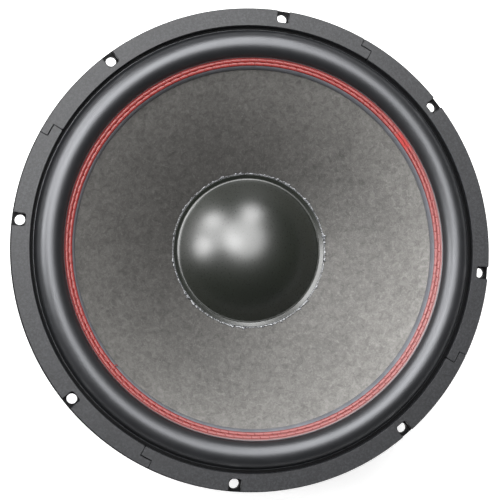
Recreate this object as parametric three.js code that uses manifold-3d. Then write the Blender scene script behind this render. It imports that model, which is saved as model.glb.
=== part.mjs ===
// A 15 inch (392 mm) dual voice coil car subwoofer driver, in millimetres, +Z along the sound axis.
// It lies on the rear face of its magnet: z = 0 is that face, and the Z axis is the coil's axis.
// The mounting holes are at 22.5 degrees and every 45 degrees on, and the terminals are on the X axis.
import * as THREE from "three";
import { mergeVertices } from "three/addons/utils/BufferGeometryUtils.js";
import Module from "manifold-3d";

// ---- driving dimensions ----
const GAP = 0.3; // between two pieces that touch or are glued
const LARGE_STEPS = 48; // facets round the rim, the cone and the surround
const MIDDLE_STEPS = 40; // facets round the basket's cup, the dust cap and the boot
const SMALL_STEPS = 32; // facets round the motor and the spiders
const COIL_STEPS = 24; // facets round the voice coil
const HOLE_SIDES = 12; // facets round the mounting holes and the terminals' bores
const BARREL_SIDES = 14; // facets round the terminals' barrels and buttons
const HEAD_SIDES = 10; // facets round a screw's head
const SCREW_HOLE_SIDES = 8; // facets round small holes
const SHANK_SIDES = 6; // facets round a screw's shank, its hole and its hexagon socket
const SCREEN_SIDES = 16;

const FRONT_Z = 190; // front face of the gasket
const GASKET_THICK = 5;
const GASKET_OUTER_R = 195;
const GASKET_INNER_R = 180.7;
const GASKET_STEP_R = 188.7; // where the lapped ends of two gasket segments meet
const GASKET_LAP_DEG = 1.5; // each lapped end runs this far past the middle of its joint
const NOTCH_WIDTH = 10;
const NOTCH_FLOOR_R = 185.2;
const NOTCH_CORNER = 1.5;
const GASKET_COUNT = 4;
const GASKET_STEPS = { beforeHole: 4, betweenHoles: 8, inside: 16 };

const FLANGE_R = 196.2;
const FLANGE_TOP = FRONT_Z - GASKET_THICK - GAP;
const FLANGE_UNDERSIDE = 179.7;
const RECESS_R = 183.3; // the surround's outer edge is glued into this recess
const RECESS_Z = 183.2;
const HOLE_CIRCLE_R = 190;
const HOLE_R = 4.1;
const HOLE_COUNT = 8;
const FIRST_HOLE_DEG = 22.5;
const CUT_OUT_R = 175.5; // the basket's skirt passes through a 352 mm hole in the enclosure
const SKIRT_BOTTOM_Z = 158;
const SKIRT_BOTTOM_R = 174;
const SKIRT_INNER_TOP_R = 171.5;
const SKIRT_INNER_BOTTOM_R = 169.5;
const EDGE_BREAK = 0.8;

// Each spoke is a plate and a rib under it. Their edges are curves [start, pull, end] in r and z.
const SPOKE_WIDTH = 18;
const SPOKE_UNDERSIDE = [[99.6, 107.5], [149, 112.5], [173.6, 162]];
const SPOKE_TOP = [[170.6, 167], [147, 118], [98.5, 112.5]];
const RIB_WIDTH = 7;
const RIB_UNDERSIDE = [[100.3, 97], [152, 100], [173.6, 159.5]];
const RIB_TOP = [[171.2, 164], [149, 117], [99.6, 111]];
const SPOKE_SEGMENTS = 4;
const CUP_R = 101.5; // outer wall round the spiders' seat
const CUP_TOP_Z = 113;
const CUP_INNER_R = 97.3;
const SEAT_Z = 95.7; // the lower spider's outer edge is glued here
const BASE_R = 92;
const BASE_INNER_R = 62;
const BASE_THICK = 8;
const CUP_FLARE_START = 3; // the cup's wall starts to flare this far above the foot of its base
const CUP_FLARE_END = 5; // and stops this far below the spiders' seat
const SEAT_INNER_R = 87;
const SEAT_THICK = 4;
const SEAT_ROOT_R = 95.5;
const VENT_WIDTH = 26;
const VENT_HEIGHT = 11;
const VENT_MIDDLE_Z = 81.95;

const YOKE_R = 92;
const YOKE_THICK = 12;
const YOKE_CHAMFER = 1.5;
const POLE_R = 37.6;
const POLE_TOP_Z = 64;
const VENT_R = 14;
const VENT_FLARE = { wider: 3, deep: 6 };
const SCREEN_Z = 8;
const SCREEN_THICK = 1.2;
const MAGNET_R = 90.5;
const MAGNET_INNER_R = 50;
const MAGNET_THICK = 20;
const TOP_PLATE_THICK = 10;
const TOP_PLATE_INNER_R = 42;
const SHORTING_INNER_R = 42.6;
const SHORTING_HEIGHT = 10;
const BOOT_INNER_R = 92.4;
const BOOT_R = 98;
const BOOT_BOTTOM_Z = 2;
const BOOT_FOOT_BEVEL = { wide: 1.5, high: 2 };
const BOOT_TOP_BEVEL = { wide: 2.5, high: 3 };

const FORMER_INNER_R = 38.1;
const FORMER_R = 38.6;
const FORMER_BOTTOM_Z = 30;
const FORMER_TOP_Z = 127;
const COIL_BOTTOM_Z = 36;
const COIL_TOP_Z = 72;
const COIL_LAYER = 1;
const COLLAR_R = 41.5;
const COLLAR_HEIGHT = 7;

const CONE_RIM_R = 153.6;
const CONE_LIP_R = 146.6; // where the surround's inner lip stands on the cone
const CONE_LIP_Z = 180;
const CONE_CAP_R = 65.6; // where the dust cap's edge is glued
const CONE_CAP_Z = 138.2;
const CONE_NECK_R = 38.9;
const CONE_NECK_LENGTH = 3; // the cone's neck runs straight down this far
const CONE_THICK = 2;
const CONE_NECK_WIDENS = 3.5; // the neck's foot is this much wider than its bore
const CONE_SLOPE = (CONE_LIP_Z - CONE_CAP_Z) / (CONE_LIP_R - CONE_CAP_R);

const ROLL_CENTRE_R = 166;
const ROLL_FOOT_Z = 184.7;
const ROLL_HALF_WIDTH = 11.5;
const ROLL_HEIGHT = 11.3;
const SURROUND_THICK = 1.2;
const SURROUND_LIFT = 0.5; // between the inner lip and the cone
const ROLL_STEPS = { outside: 7, inside: 5 };
const ROLL_INSIDE_END_DEG = 177;
const BAND_INNER = [148.7, 186.3]; // the sloping band that the stitches run along, in r and z
const BAND_OUTER = [155, 188.05];
const BAND_SLOPE = (BAND_OUTER[1] - BAND_INNER[1]) / (BAND_OUTER[0] - BAND_INNER[0]);
const STITCH_ROWS = { outer: 153, inner: 150.05 };
const STITCH_WIDTH = 2.2;
const STITCH_HEIGHT = 0.7;
const STITCH_CROWN = 0.4; // the flat top's share of a stitch's width

const CAP_DOME_R = 60.7;
const CAP_DOME_HEIGHT = 24;
const CAP_THICK = 1;
const CAP_SHORT = 0.2; // the cap's flange ends this far inside the line of its glue
const CAP_LIFT = 0.4; // the cap's flange lies this far above the cone, on its adhesive
const BEAD_WIDTH = 2.2;
const BEAD_CREST = 1.6; // above the cap's underside, in the middle of the bead
const BEAD_INNER = 1.2; // the same at the cap's edge

const SPIDER_THICK = 0.8;
const SPIDER_R = 95;
const SPIDER_WAVES = { innerR: 46, outerR: 86, count: 2, height: 2.4 };
const SPACER_HEIGHT = 9;
const SPACER_INNER_R = 88.5;

const BOLT_CIRCLE_R = 77;
const BOLT_COUNT = 8;
const BOLT_R = 3;
const BOLT_HOLE_R = 3.4;
const BOLT_HEAD_R = 5;
const BOLT_HEAD_HEIGHT = 5;
const BOLT_SOCKET_R = 2.6;
const BOLT_SOCKET_DEPTH = 2.8;
const BOLT_GRIP = 2; // how far above the top plate's underside a bolt ends

const PAD_FACE_X = 104; // flat boss on the basket behind each terminal
const PAD_HALF_WIDTH = 30;
const PAD_BACK_X = 93;
const HOUSING_DEPTH = 22;
const HOUSING_HALF_WIDTH = 21.5;
const HOUSING_BOTTOM_Z = 95;
const HOUSING_TOP_Z = 110;
const EAR_HALF_WIDTH = 29.5;
const EAR_THICK = 4;
const BARREL_R = 7.6;
const BARREL_BORE_R = 5.4;
const BARREL_Y = 12.5;
const BARREL_BOTTOM_Z = 85;
const BARREL_STAND_OUT = 2; // the barrels' axis is this far outside the middle of the housing
const BORE_ROOF = 4;
const BUTTON_TRAVEL = 4;
const BUTTON_HEIGHT = 6;
const BUTTON_BEVEL = { wide: 2, deep: 1.5 };
const STEM_R = 2;
const STEM_CLEARANCE = 1;
const SPRING_R = 3.7;
const SPRING_WIRE_R = 0.5;
const SPRING_TURNS = 3.5;
const SPRING_SIDES = 4;
const SPRING_SEGMENTS = 28;
const WIRE_HOLE_R = 1.9;
const WIRE_HOLE_UP = 5; // above the foot of the barrel
const SCREW_Y = 25;
const SCREW_Z = 102;
const SCREW_R = 1.5;
const SCREW_DEPTH = 6;
const SCREW_HEAD_R = 3;
const SCREW_HEAD_THICK = 2;
const TAB_OUT = 5; // the solder tabs stand this far out from the pad's face
const TAB_HEIGHT = 12;
const TAB_HALF_WIDTH = 2.5;
const TAB_THICK = 1;
const LEAD_R = 1.3;
const LEAD_SIDES = 8;
const LEAD_SEGMENTS = 12;
const LEAD_ROUTE = [
  // x, distance from the middle, z: from the solder tab over the cup's wall to the neck collar
  [106.4, 12.5, 120.5],
  [100, 12.4, 122.5],
  [92, 12.2, 121.5],
  [80, 11.8, 118],
  [68, 11.4, 114.5],
  [56, 10.8, 113.2],
  [47.5, 10.3, 115],
  [42.9, 10, 117.8],
];

// ---- heights that follow from the stack on the magnet system, from z = 0 up ----
const MAGNET_1_Z = YOKE_THICK + GAP;
const MAGNET_2_Z = MAGNET_1_Z + MAGNET_THICK + GAP;
const TOP_PLATE_Z = MAGNET_2_Z + MAGNET_THICK + GAP;
const BASE_Z = TOP_PLATE_Z + TOP_PLATE_THICK + GAP;
const BASE_TOP_Z = BASE_Z + BASE_THICK;
const BOLT_TIP_Z = TOP_PLATE_Z + BOLT_GRIP;
const NECK_BOTTOM_Z = CONE_LIP_Z + (CONE_NECK_R - CONE_LIP_R) * CONE_SLOPE - CONE_NECK_LENGTH;
const LOWER_SPIDER_Z = SEAT_Z + GAP;
const SPACER_Z = LOWER_SPIDER_Z + SPIDER_THICK + GAP;
const UPPER_SPIDER_Z = SPACER_Z + SPACER_HEIGHT + GAP;
const BARREL_X = PAD_FACE_X + GAP + HOUSING_DEPTH / 2 + BARREL_STAND_OUT;
const BUTTON_TOP_Z = BARREL_BOTTOM_Z - BUTTON_TRAVEL - GAP;
const BORE_TOP_Z = HOUSING_TOP_Z - BORE_ROOF;
const TAB_X = PAD_FACE_X + TAB_OUT;

const COLOURS = {
  castFrame: { color: 0x16171a, roughness: 0.55, metalness: 0.4 },
  gasket: { color: 0x4a4d52, roughness: 0.9, metalness: 0 },
  surround: { color: 0x17181a, roughness: 0.5, metalness: 0 },
  thread: { color: 0xb3271e, roughness: 0.6, metalness: 0 },
  paper: { color: 0x4c4a47, roughness: 0.95, metalness: 0 },
  dustCap: { color: 0x0b0b0d, roughness: 0.2, metalness: 0 },
  adhesive: { color: 0x9aa0a6, roughness: 0.25, metalness: 0 },
  former: { color: 0x2b2a28, roughness: 0.5, metalness: 0.2 },
  copper: { color: 0xa65a2e, roughness: 0.35, metalness: 0.9 },
  spiderCloth: { color: 0x26292c, roughness: 0.9, metalness: 0 },
  spacer: { color: 0x1b1c1e, roughness: 0.6, metalness: 0 },
  steel: { color: 0x3c3e40, roughness: 0.45, metalness: 0.8 },
  ferrite: { color: 0x2a2a2c, roughness: 0.8, metalness: 0.1 },
  aluminium: { color: 0xb9bcc0, roughness: 0.35, metalness: 0.9 },
  rubber: { color: 0x141415, roughness: 0.8, metalness: 0 },
  screw: { color: 0x1e1e20, roughness: 0.4, metalness: 0.8 },
  plastic: { color: 0x121214, roughness: 0.4, metalness: 0 },
  redButton: { color: 0xb01818, roughness: 0.3, metalness: 0 },
  blackButton: { color: 0x0d0d0f, roughness: 0.3, metalness: 0 },
  nickel: { color: 0xc9c6bf, roughness: 0.25, metalness: 1 },
  tinsel: { color: 0xb8a88c, roughness: 0.4, metalness: 0.7 },
  mesh: { color: 0x1a1a1c, roughness: 0.6, metalness: 0.6 },
};

// ---- helpers ----
const wasm = await Module();
wasm.setup();

const speaker = new THREE.Group();

function add(name, geometry, finish, parent = speaker) {
  const mesh = new THREE.Mesh(geometry, new THREE.MeshStandardMaterial(finish));
  mesh.name = name;
  parent.add(mesh);
  return mesh;
}

function toSolid(geometry) {
  const bare = geometry.clone();
  bare.deleteAttribute("normal");
  bare.deleteAttribute("uv");
  const merged = mergeVertices(bare, 1e-4);
  const vertProperties = merged.getAttribute("position").array;
  const triVerts = new Uint32Array(merged.index.array);
  return new wasm.Manifold(new wasm.Mesh({ numProp: 3, vertProperties, triVerts }));
}

function fromSolid(solid) {
  const mesh = solid.getMesh();
  const geometry = new THREE.BufferGeometry();
  geometry.setAttribute("position", new THREE.BufferAttribute(mesh.vertProperties, 3));
  geometry.setIndex(new THREE.BufferAttribute(mesh.triVerts, 1));
  geometry.computeVertexNormals();
  return geometry;
}

function union(geometries) {
  return geometries.map(toSolid).reduce((whole, next) => whole.add(next));
}

function cut(solid, cutters) {
  return cutters.map(toSolid).reduce((whole, next) => whole.subtract(next), solid);
}

const radians = THREE.MathUtils.degToRad;

// Points [r, z] of a closed section, anticlockwise with r to the right and z up, turned round Z.
function ring(section, steps) {
  const points = [...section, section[0]].map(([r, z]) => new THREE.Vector2(r, z));
  return new THREE.LatheGeometry(points, steps).rotateX(Math.PI / 2);
}

// A closed section whose first and last points are on the axis.
function disc(section, steps) {
  const points = section.map(([r, z]) => new THREE.Vector2(r, z));
  return new THREE.LatheGeometry(points, steps).rotateX(Math.PI / 2);
}

function rectangle(innerR, outerR, lowZ, highZ) {
  return [[innerR, lowZ], [outerR, lowZ], [outerR, highZ], [innerR, highZ]];
}

function ellipseArc(centreR, centreZ, halfWidth, height, fromDeg, toDeg, count) {
  return Array.from({ length: count + 1 }, (_, i) => {
    const angle = radians(fromDeg + ((toDeg - fromDeg) * i) / count);
    return [centreR + halfWidth * Math.cos(angle), centreZ + height * Math.sin(angle)];
  });
}

// An upright cylinder between two heights.
function post(radius, lowZ, highZ, sides, x = 0, y = 0) {
  const cylinder = new THREE.CylinderGeometry(radius, radius, highZ - lowZ, sides);
  return cylinder.rotateX(Math.PI / 2).translate(x, y, (lowZ + highZ) / 2);
}

// A cylinder along X between two places.
function rod(radius, lowX, highX, sides, y, z) {
  const cylinder = new THREE.CylinderGeometry(radius, radius, highX - lowX, sides);
  return cylinder.rotateZ(-Math.PI / 2).translate((lowX + highX) / 2, y, z);
}

function block(low, high) {
  const size = high.map((value, i) => value - low[i]);
  const middle = high.map((value, i) => (value + low[i]) / 2);
  return new THREE.BoxGeometry(...size).translate(...middle);
}

// A shape drawn in r and z, given a width across the radial plane.
function radialPlate(shape, width, curveSegments) {
  const plate = new THREE.ExtrudeGeometry(shape, { depth: width, bevelEnabled: false, curveSegments });
  return plate.translate(0, 0, -width / 2).rotateX(Math.PI / 2);
}

function coneZ(r) {
  return CONE_LIP_Z + (r - CONE_LIP_R) * CONE_SLOPE;
}

function around(count, firstDeg, make) {
  return Array.from({ length: count }, (_, i) => make(i, radians(firstDeg + (360 * i) / count)));
}

// ---- basket: cast rim, eight T-section spokes and the cup that seats the spiders ----
function basketRim() {
  const section = [
    [SKIRT_INNER_BOTTOM_R, SKIRT_BOTTOM_Z],
    [SKIRT_BOTTOM_R, SKIRT_BOTTOM_Z],
    [CUT_OUT_R, FLANGE_UNDERSIDE],
    [FLANGE_R - EDGE_BREAK, FLANGE_UNDERSIDE],
    [FLANGE_R, FLANGE_UNDERSIDE + EDGE_BREAK],
    [FLANGE_R, FLANGE_TOP - EDGE_BREAK],
    [FLANGE_R - EDGE_BREAK, FLANGE_TOP],
    [RECESS_R, FLANGE_TOP],
    [RECESS_R, RECESS_Z],
    [SKIRT_INNER_TOP_R, RECESS_Z],
  ];
  return ring(section, LARGE_STEPS);
}

function basketCup() {
  const section = [
    [BASE_INNER_R, BASE_Z],
    [BASE_R, BASE_Z],
    [BASE_R, BASE_Z + CUP_FLARE_START],
    [CUP_R, SEAT_Z - CUP_FLARE_END],
    [CUP_R, CUP_TOP_Z],
    [CUP_INNER_R, CUP_TOP_Z],
    [CUP_INNER_R, SEAT_Z],
    [SEAT_INNER_R, SEAT_Z],
    [SEAT_INNER_R, SEAT_Z - SEAT_THICK],
    [SEAT_ROOT_R, SEAT_Z - SEAT_THICK],
    [BASE_R - SEAT_THICK, BASE_TOP_Z],
    [BASE_INNER_R, BASE_TOP_Z],
  ];
  return ring(section, MIDDLE_STEPS);
}

function curvedBar([lowStart, lowPull, lowEnd], [highStart, highPull, highEnd], width) {
  const shape = new THREE.Shape();
  shape.moveTo(...lowStart);
  shape.quadraticCurveTo(...lowPull, ...lowEnd);
  shape.lineTo(...highStart);
  shape.quadraticCurveTo(...highPull, ...highEnd);
  shape.closePath();
  return radialPlate(shape, width, SPOKE_SEGMENTS);
}

function spoke(angle) {
  return [
    curvedBar(SPOKE_UNDERSIDE, SPOKE_TOP, SPOKE_WIDTH).rotateZ(angle),
    curvedBar(RIB_UNDERSIDE, RIB_TOP, RIB_WIDTH).rotateZ(angle),
  ];
}

function ventCutter(angle) {
  const low = [SEAT_INNER_R - 2 * SEAT_THICK, -VENT_WIDTH / 2, VENT_MIDDLE_Z - VENT_HEIGHT / 2];
  const high = [CUP_R + SEAT_THICK, VENT_WIDTH / 2, VENT_MIDDLE_Z + VENT_HEIGHT / 2];
  return block(low, high).rotateZ(angle);
}

// The flat boss that a terminal housing is screwed to.
function terminalPad(angle) {
  const low = [PAD_BACK_X, -PAD_HALF_WIDTH, SEAT_Z - CUP_FLARE_START];
  const high = [PAD_FACE_X, PAD_HALF_WIDTH, CUP_TOP_Z - SPIDER_THICK];
  return block(low, high).rotateZ(angle);
}

function screwHolePair(angle) {
  const lowX = PAD_FACE_X - SCREW_DEPTH - 1;
  return [-SCREW_Y, SCREW_Y].map((y) =>
    rod(SCREW_R + GAP, lowX, PAD_FACE_X + 1, SCREW_HOLE_SIDES, y, SCREW_Z).rotateZ(angle),
  );
}

function basket() {
  const spokes = around(HOLE_COUNT, FIRST_HOLE_DEG, (_, angle) => spoke(angle)).flat();
  const pads = [0, Math.PI].map(terminalPad);
  const whole = union([basketRim(), basketCup(), ...spokes, ...pads]);
  const mountingHoles = around(HOLE_COUNT, FIRST_HOLE_DEG, (_, angle) =>
    post(HOLE_R, FLANGE_UNDERSIDE - 1, FLANGE_TOP + 1, HOLE_SIDES, HOLE_CIRCLE_R, 0).rotateZ(angle),
  );
  const boltHoles = around(BOLT_COUNT, FIRST_HOLE_DEG, (_, angle) =>
    post(BOLT_HOLE_R, BASE_Z - 1, BASE_TOP_Z + 1, SHANK_SIDES, BOLT_CIRCLE_R, 0).rotateZ(angle),
  );
  const screwHoles = [0, Math.PI].flatMap(screwHolePair);
  const spiderRoom = post(CUP_INNER_R, SEAT_Z, CUP_TOP_Z + 1, MIDDLE_STEPS);
  const vents = around(HOLE_COUNT, 0, (_, angle) => ventCutter(angle));
  const cutters = [...mountingHoles, ...boltHoles, ...screwHoles, spiderRoom, ...vents];
  return fromSolid(cut(whole, cutters));
}
add("basket", basket(), COLOURS.castFrame);

// ---- gasket: four segments with lapped ends and a notch at each mounting hole ----
function notchPoints(holeDeg) {
  const half = NOTCH_WIDTH / 2;
  const outline = [
    [Math.sqrt(GASKET_OUTER_R ** 2 - half ** 2), -half],
    [NOTCH_FLOOR_R + NOTCH_CORNER, -half],
    [NOTCH_FLOOR_R, -half + NOTCH_CORNER],
    [NOTCH_FLOOR_R, half - NOTCH_CORNER],
    [NOTCH_FLOOR_R + NOTCH_CORNER, half],
    [Math.sqrt(GASKET_OUTER_R ** 2 - half ** 2), half],
  ];
  const middle = new THREE.Vector2();
  return outline.map(([x, y]) => new THREE.Vector2(x, y).rotateAround(middle, radians(holeDeg)));
}

function arcPoints(r, fromDeg, toDeg, count) {
  return Array.from({ length: count + 1 }, (_, i) => {
    const angle = radians(fromDeg + ((toDeg - fromDeg) * i) / count);
    return new THREE.Vector2(r * Math.cos(angle), r * Math.sin(angle));
  });
}

function gasketSegment(index) {
  const gapDeg = THREE.MathUtils.radToDeg(GAP / 2 / GASKET_STEP_R);
  const sweep = 360 / GASKET_COUNT;
  const start = sweep * (index + 0.5);
  const end = start + sweep;
  const notchHalfDeg = THREE.MathUtils.radToDeg(Math.asin(NOTCH_WIDTH / 2 / GASKET_OUTER_R));
  const holes = [start + FIRST_HOLE_DEG, end - FIRST_HOLE_DEG];
  const [before, between] = [GASKET_STEPS.beforeHole, GASKET_STEPS.betweenHoles];
  const outerStart = start + GASKET_LAP_DEG + gapDeg;
  const outerEnd = end + GASKET_LAP_DEG - gapDeg;
  const innerStart = start - GASKET_LAP_DEG + gapDeg;
  const innerEnd = end - GASKET_LAP_DEG - gapDeg;
  const outline = [
    ...arcPoints(GASKET_STEP_R - GAP / 2, innerStart, outerStart, 1),
    ...arcPoints(GASKET_OUTER_R, outerStart, holes[0] - notchHalfDeg, before).slice(0, -1),
    ...notchPoints(holes[0]),
    ...arcPoints(GASKET_OUTER_R, holes[0] + notchHalfDeg, holes[1] - notchHalfDeg, between)
      .slice(1, -1),
    ...notchPoints(holes[1]),
    ...arcPoints(GASKET_OUTER_R, holes[1] + notchHalfDeg, outerEnd, before).slice(1),
    ...arcPoints(GASKET_STEP_R + GAP / 2, outerEnd, innerEnd, 1),
    ...arcPoints(GASKET_INNER_R, innerEnd, innerStart, GASKET_STEPS.inside),
  ];
  const segment = new THREE.ExtrudeGeometry(new THREE.Shape(outline), {
    depth: GASKET_THICK,
    bevelEnabled: false,
  });
  return segment.translate(0, 0, FRONT_Z - GASKET_THICK);
}
around(GASKET_COUNT, 0, (i) => add(`gasket_segment_${i + 1}`, gasketSegment(i), COLOURS.gasket));

// ---- surround: half roll, glued flange outside and a thick stitched lip on the cone's rim ----
function rollArc(halfWidth, height, fromDeg, toDeg, count) {
  return ellipseArc(ROLL_CENTRE_R, ROLL_FOOT_Z, halfWidth, height, fromDeg, toDeg, count);
}

function surround() {
  const rise = (BAND_OUTER[1] - ROLL_FOOT_Z) / ROLL_HEIGHT;
  const bandDeg = THREE.MathUtils.radToDeg(Math.asin(rise));
  const innerWidth = ROLL_HALF_WIDTH - SURROUND_THICK;
  const innerHeight = ROLL_HEIGHT - SURROUND_THICK;
  const lastDeg = 180 - bandDeg;
  const underFoot = CONE_RIM_R + GAP;
  const section = [
    [ROLL_CENTRE_R + innerWidth, ROLL_FOOT_Z - SURROUND_THICK],
    [RECESS_R - GAP, ROLL_FOOT_Z - SURROUND_THICK],
    [RECESS_R - GAP, ROLL_FOOT_Z],
    ...rollArc(ROLL_HALF_WIDTH, ROLL_HEIGHT, 0, lastDeg, ROLL_STEPS.outside),
    BAND_INNER,
    [CONE_LIP_R, coneZ(CONE_LIP_R) + SURROUND_LIFT],
    [underFoot, coneZ(underFoot) + SURROUND_LIFT],
    ...rollArc(innerWidth, innerHeight, ROLL_INSIDE_END_DEG, 0, ROLL_STEPS.inside),
  ];
  return ring(section, LARGE_STEPS);
}
add("surround", surround(), COLOURS.surround);

function bandZ(r) {
  return BAND_INNER[1] + (r - BAND_INNER[0]) * BAND_SLOPE;
}

// A low ring of thread that follows the band's slope.
function stitchThread(r) {
  const half = STITCH_WIDTH / 2;
  const crown = half * STITCH_CROWN;
  const section = [
    [r - half, bandZ(r - half) + GAP],
    [r + half, bandZ(r + half) + GAP],
    [r + crown, bandZ(r + crown) + GAP + STITCH_HEIGHT],
    [r - crown, bandZ(r - crown) + GAP + STITCH_HEIGHT],
  ];
  return ring(section, MIDDLE_STEPS);
}
for (const [row, r] of Object.entries(STITCH_ROWS)) {
  add(`stitch_thread_${row}`, stitchThread(r), COLOURS.thread);
}

// ---- cone, dust cap and the bead of adhesive round the cap ----
function cone() {
  const under = CONE_THICK * Math.hypot(1, CONE_SLOPE);
  const neckRootR = CONE_NECK_R + CONE_NECK_WIDENS;
  const section = [
    [CONE_NECK_R, NECK_BOTTOM_Z],
    [CONE_NECK_R + CONE_THICK, NECK_BOTTOM_Z],
    [neckRootR, coneZ(neckRootR) - under],
    [CONE_RIM_R, coneZ(CONE_RIM_R) - under],
    [CONE_RIM_R, coneZ(CONE_RIM_R)],
    [CONE_NECK_R, coneZ(CONE_NECK_R)],
  ];
  return ring(section, LARGE_STEPS);
}
add("cone", cone(), COLOURS.paper);

// A dome whose flange lies on the slope of the cone.
function dustCap() {
  const domeFootZ = coneZ(CAP_DOME_R) + CAP_LIFT + CAP_THICK;
  const sphereR = (CAP_DOME_R ** 2 + CAP_DOME_HEIGHT ** 2) / (2 * CAP_DOME_HEIGHT);
  const centreZ = domeFootZ + CAP_DOME_HEIGHT - sphereR;
  const edge = THREE.MathUtils.radToDeg(Math.asin(CAP_DOME_R / sphereR));
  const inner = sphereR - CAP_THICK;
  const underside = ellipseArc(0, centreZ, inner, inner, 90, 90 - edge, 4);
  const outside = ellipseArc(0, centreZ, sphereR, sphereR, 90 - edge, 90, 5);
  const flangeR = CONE_CAP_R - CAP_SHORT;
  const flange = [
    [CAP_DOME_R, coneZ(CAP_DOME_R) + CAP_LIFT],
    [flangeR, coneZ(flangeR) + CAP_LIFT],
    [flangeR, coneZ(flangeR) + CAP_LIFT + CAP_THICK],
  ];
  const section = [...underside, ...flange, ...outside];
  section[0][0] = 0;
  section[section.length - 1][0] = 0;
  return disc(section, MIDDLE_STEPS);
}
add("dust_cap", dustCap(), COLOURS.dustCap);

function glueBead() {
  const foot = CONE_CAP_R + GAP / 2;
  const section = [
    [foot, coneZ(foot) + GAP],
    [foot + BEAD_WIDTH, coneZ(foot + BEAD_WIDTH) + GAP],
    [foot + BEAD_WIDTH / 2, coneZ(foot) + CAP_LIFT + BEAD_CREST],
    [foot, coneZ(foot) + CAP_LIFT + BEAD_INNER],
  ];
  return ring(section, MIDDLE_STEPS);
}
add("dust_cap_glue_bead", glueBead(), COLOURS.adhesive);

// ---- voice coil: former, two windings, and the collar that joins them to the cone's neck ----
const former = rectangle(FORMER_INNER_R, FORMER_R, FORMER_BOTTOM_Z, FORMER_TOP_Z);
add("coil_former", ring(former, COIL_STEPS), COLOURS.former);
["inner", "outer"].forEach((layer, i) => {
  const innerR = FORMER_R + GAP + i * (COIL_LAYER + GAP);
  const winding = rectangle(innerR, innerR + COIL_LAYER, COIL_BOTTOM_Z, COIL_TOP_Z);
  add(`coil_winding_${layer}`, ring(winding, COIL_STEPS), COLOURS.copper);
});
const collarTop = NECK_BOTTOM_Z - GAP;
const collar = rectangle(CONE_NECK_R, COLLAR_R, collarTop - COLLAR_HEIGHT, collarTop);
add("neck_collar", ring(collar, COIL_STEPS), COLOURS.adhesive);

// ---- spiders: two corrugated centring rings with a spacer between their outer edges ----
function spider(lowZ) {
  const { innerR, outerR, count, height } = SPIDER_WAVES;
  const steps = 2 * count;
  const crests = Array.from({ length: steps }, (_, i) => {
    const r = innerR + ((outerR - innerR) * (i + 0.5)) / steps;
    return [r, lowZ + (i % 2 === 0 ? height : -height)];
  });
  const lower = [[CONE_NECK_R, lowZ], [innerR, lowZ], ...crests, [outerR, lowZ], [SPIDER_R, lowZ]];
  const upper = lower.map(([r, z]) => [r, z + SPIDER_THICK]).reverse();
  return ring([...lower, ...upper], SMALL_STEPS);
}
const spacer = rectangle(SPACER_INNER_R, SPIDER_R, SPACER_Z, SPACER_Z + SPACER_HEIGHT);
add("spider_lower", spider(LOWER_SPIDER_Z), COLOURS.spiderCloth);
add("spider_spacer", ring(spacer, SMALL_STEPS), COLOURS.spacer);
add("spider_upper", spider(UPPER_SPIDER_Z), COLOURS.spiderCloth);

// ---- motor: yoke with vented pole, two ferrite rings, top plate, shorting ring and rubber boot ----
function yoke() {
  const section = [
    [VENT_R + VENT_FLARE.wider, 0],
    [YOKE_R - YOKE_CHAMFER, 0],
    [YOKE_R, YOKE_CHAMFER],
    [YOKE_R, YOKE_THICK],
    [POLE_R, YOKE_THICK],
    [POLE_R, POLE_TOP_Z],
    [VENT_R + VENT_FLARE.wider, POLE_TOP_Z],
    [VENT_R, POLE_TOP_Z - VENT_FLARE.deep],
    [VENT_R, VENT_FLARE.deep],
  ];
  return ring(section, SMALL_STEPS);
}
add("yoke", yoke(), COLOURS.steel);

function ventScreen() {
  const r = VENT_R - GAP;
  const top = SCREEN_Z + SCREEN_THICK;
  return disc([[0, SCREEN_Z], [r, SCREEN_Z], [r, top], [0, top]], SCREEN_SIDES);
}
add("vent_screen", ventScreen(), COLOURS.mesh);

for (const [place, z] of [["lower", MAGNET_1_Z], ["upper", MAGNET_2_Z]]) {
  const magnet = rectangle(MAGNET_INNER_R, MAGNET_R, z, z + MAGNET_THICK);
  add(`magnet_${place}`, ring(magnet, SMALL_STEPS), COLOURS.ferrite);
}
const shortingTop = MAGNET_1_Z + SHORTING_HEIGHT;
const shorting = rectangle(SHORTING_INNER_R, MAGNET_INNER_R - GAP, MAGNET_1_Z, shortingTop);
add("shorting_ring", ring(shorting, COIL_STEPS), COLOURS.aluminium);

function topPlate() {
  const section = rectangle(TOP_PLATE_INNER_R, MAGNET_R, TOP_PLATE_Z, TOP_PLATE_Z + TOP_PLATE_THICK);
  const holes = around(BOLT_COUNT, FIRST_HOLE_DEG, (_, angle) =>
    post(BOLT_HOLE_R, BOLT_TIP_Z - GAP, BASE_Z + 1, SHANK_SIDES, BOLT_CIRCLE_R, 0).rotateZ(angle),
  );
  return fromSolid(cut(toSolid(ring(section, SMALL_STEPS)), holes));
}
add("top_plate", topPlate(), COLOURS.steel);

function boot() {
  const top = BASE_Z - GAP;
  const section = [
    [BOOT_INNER_R, BOOT_BOTTOM_Z],
    [BOOT_R - BOOT_FOOT_BEVEL.wide, BOOT_BOTTOM_Z],
    [BOOT_R, BOOT_BOTTOM_Z + BOOT_FOOT_BEVEL.high],
    [BOOT_R, top - BOOT_TOP_BEVEL.high],
    [BOOT_R - BOOT_TOP_BEVEL.wide, top],
    [BOOT_INNER_R, top],
  ];
  return ring(section, MIDDLE_STEPS);
}
add("magnet_boot", boot(), COLOURS.rubber);

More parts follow.
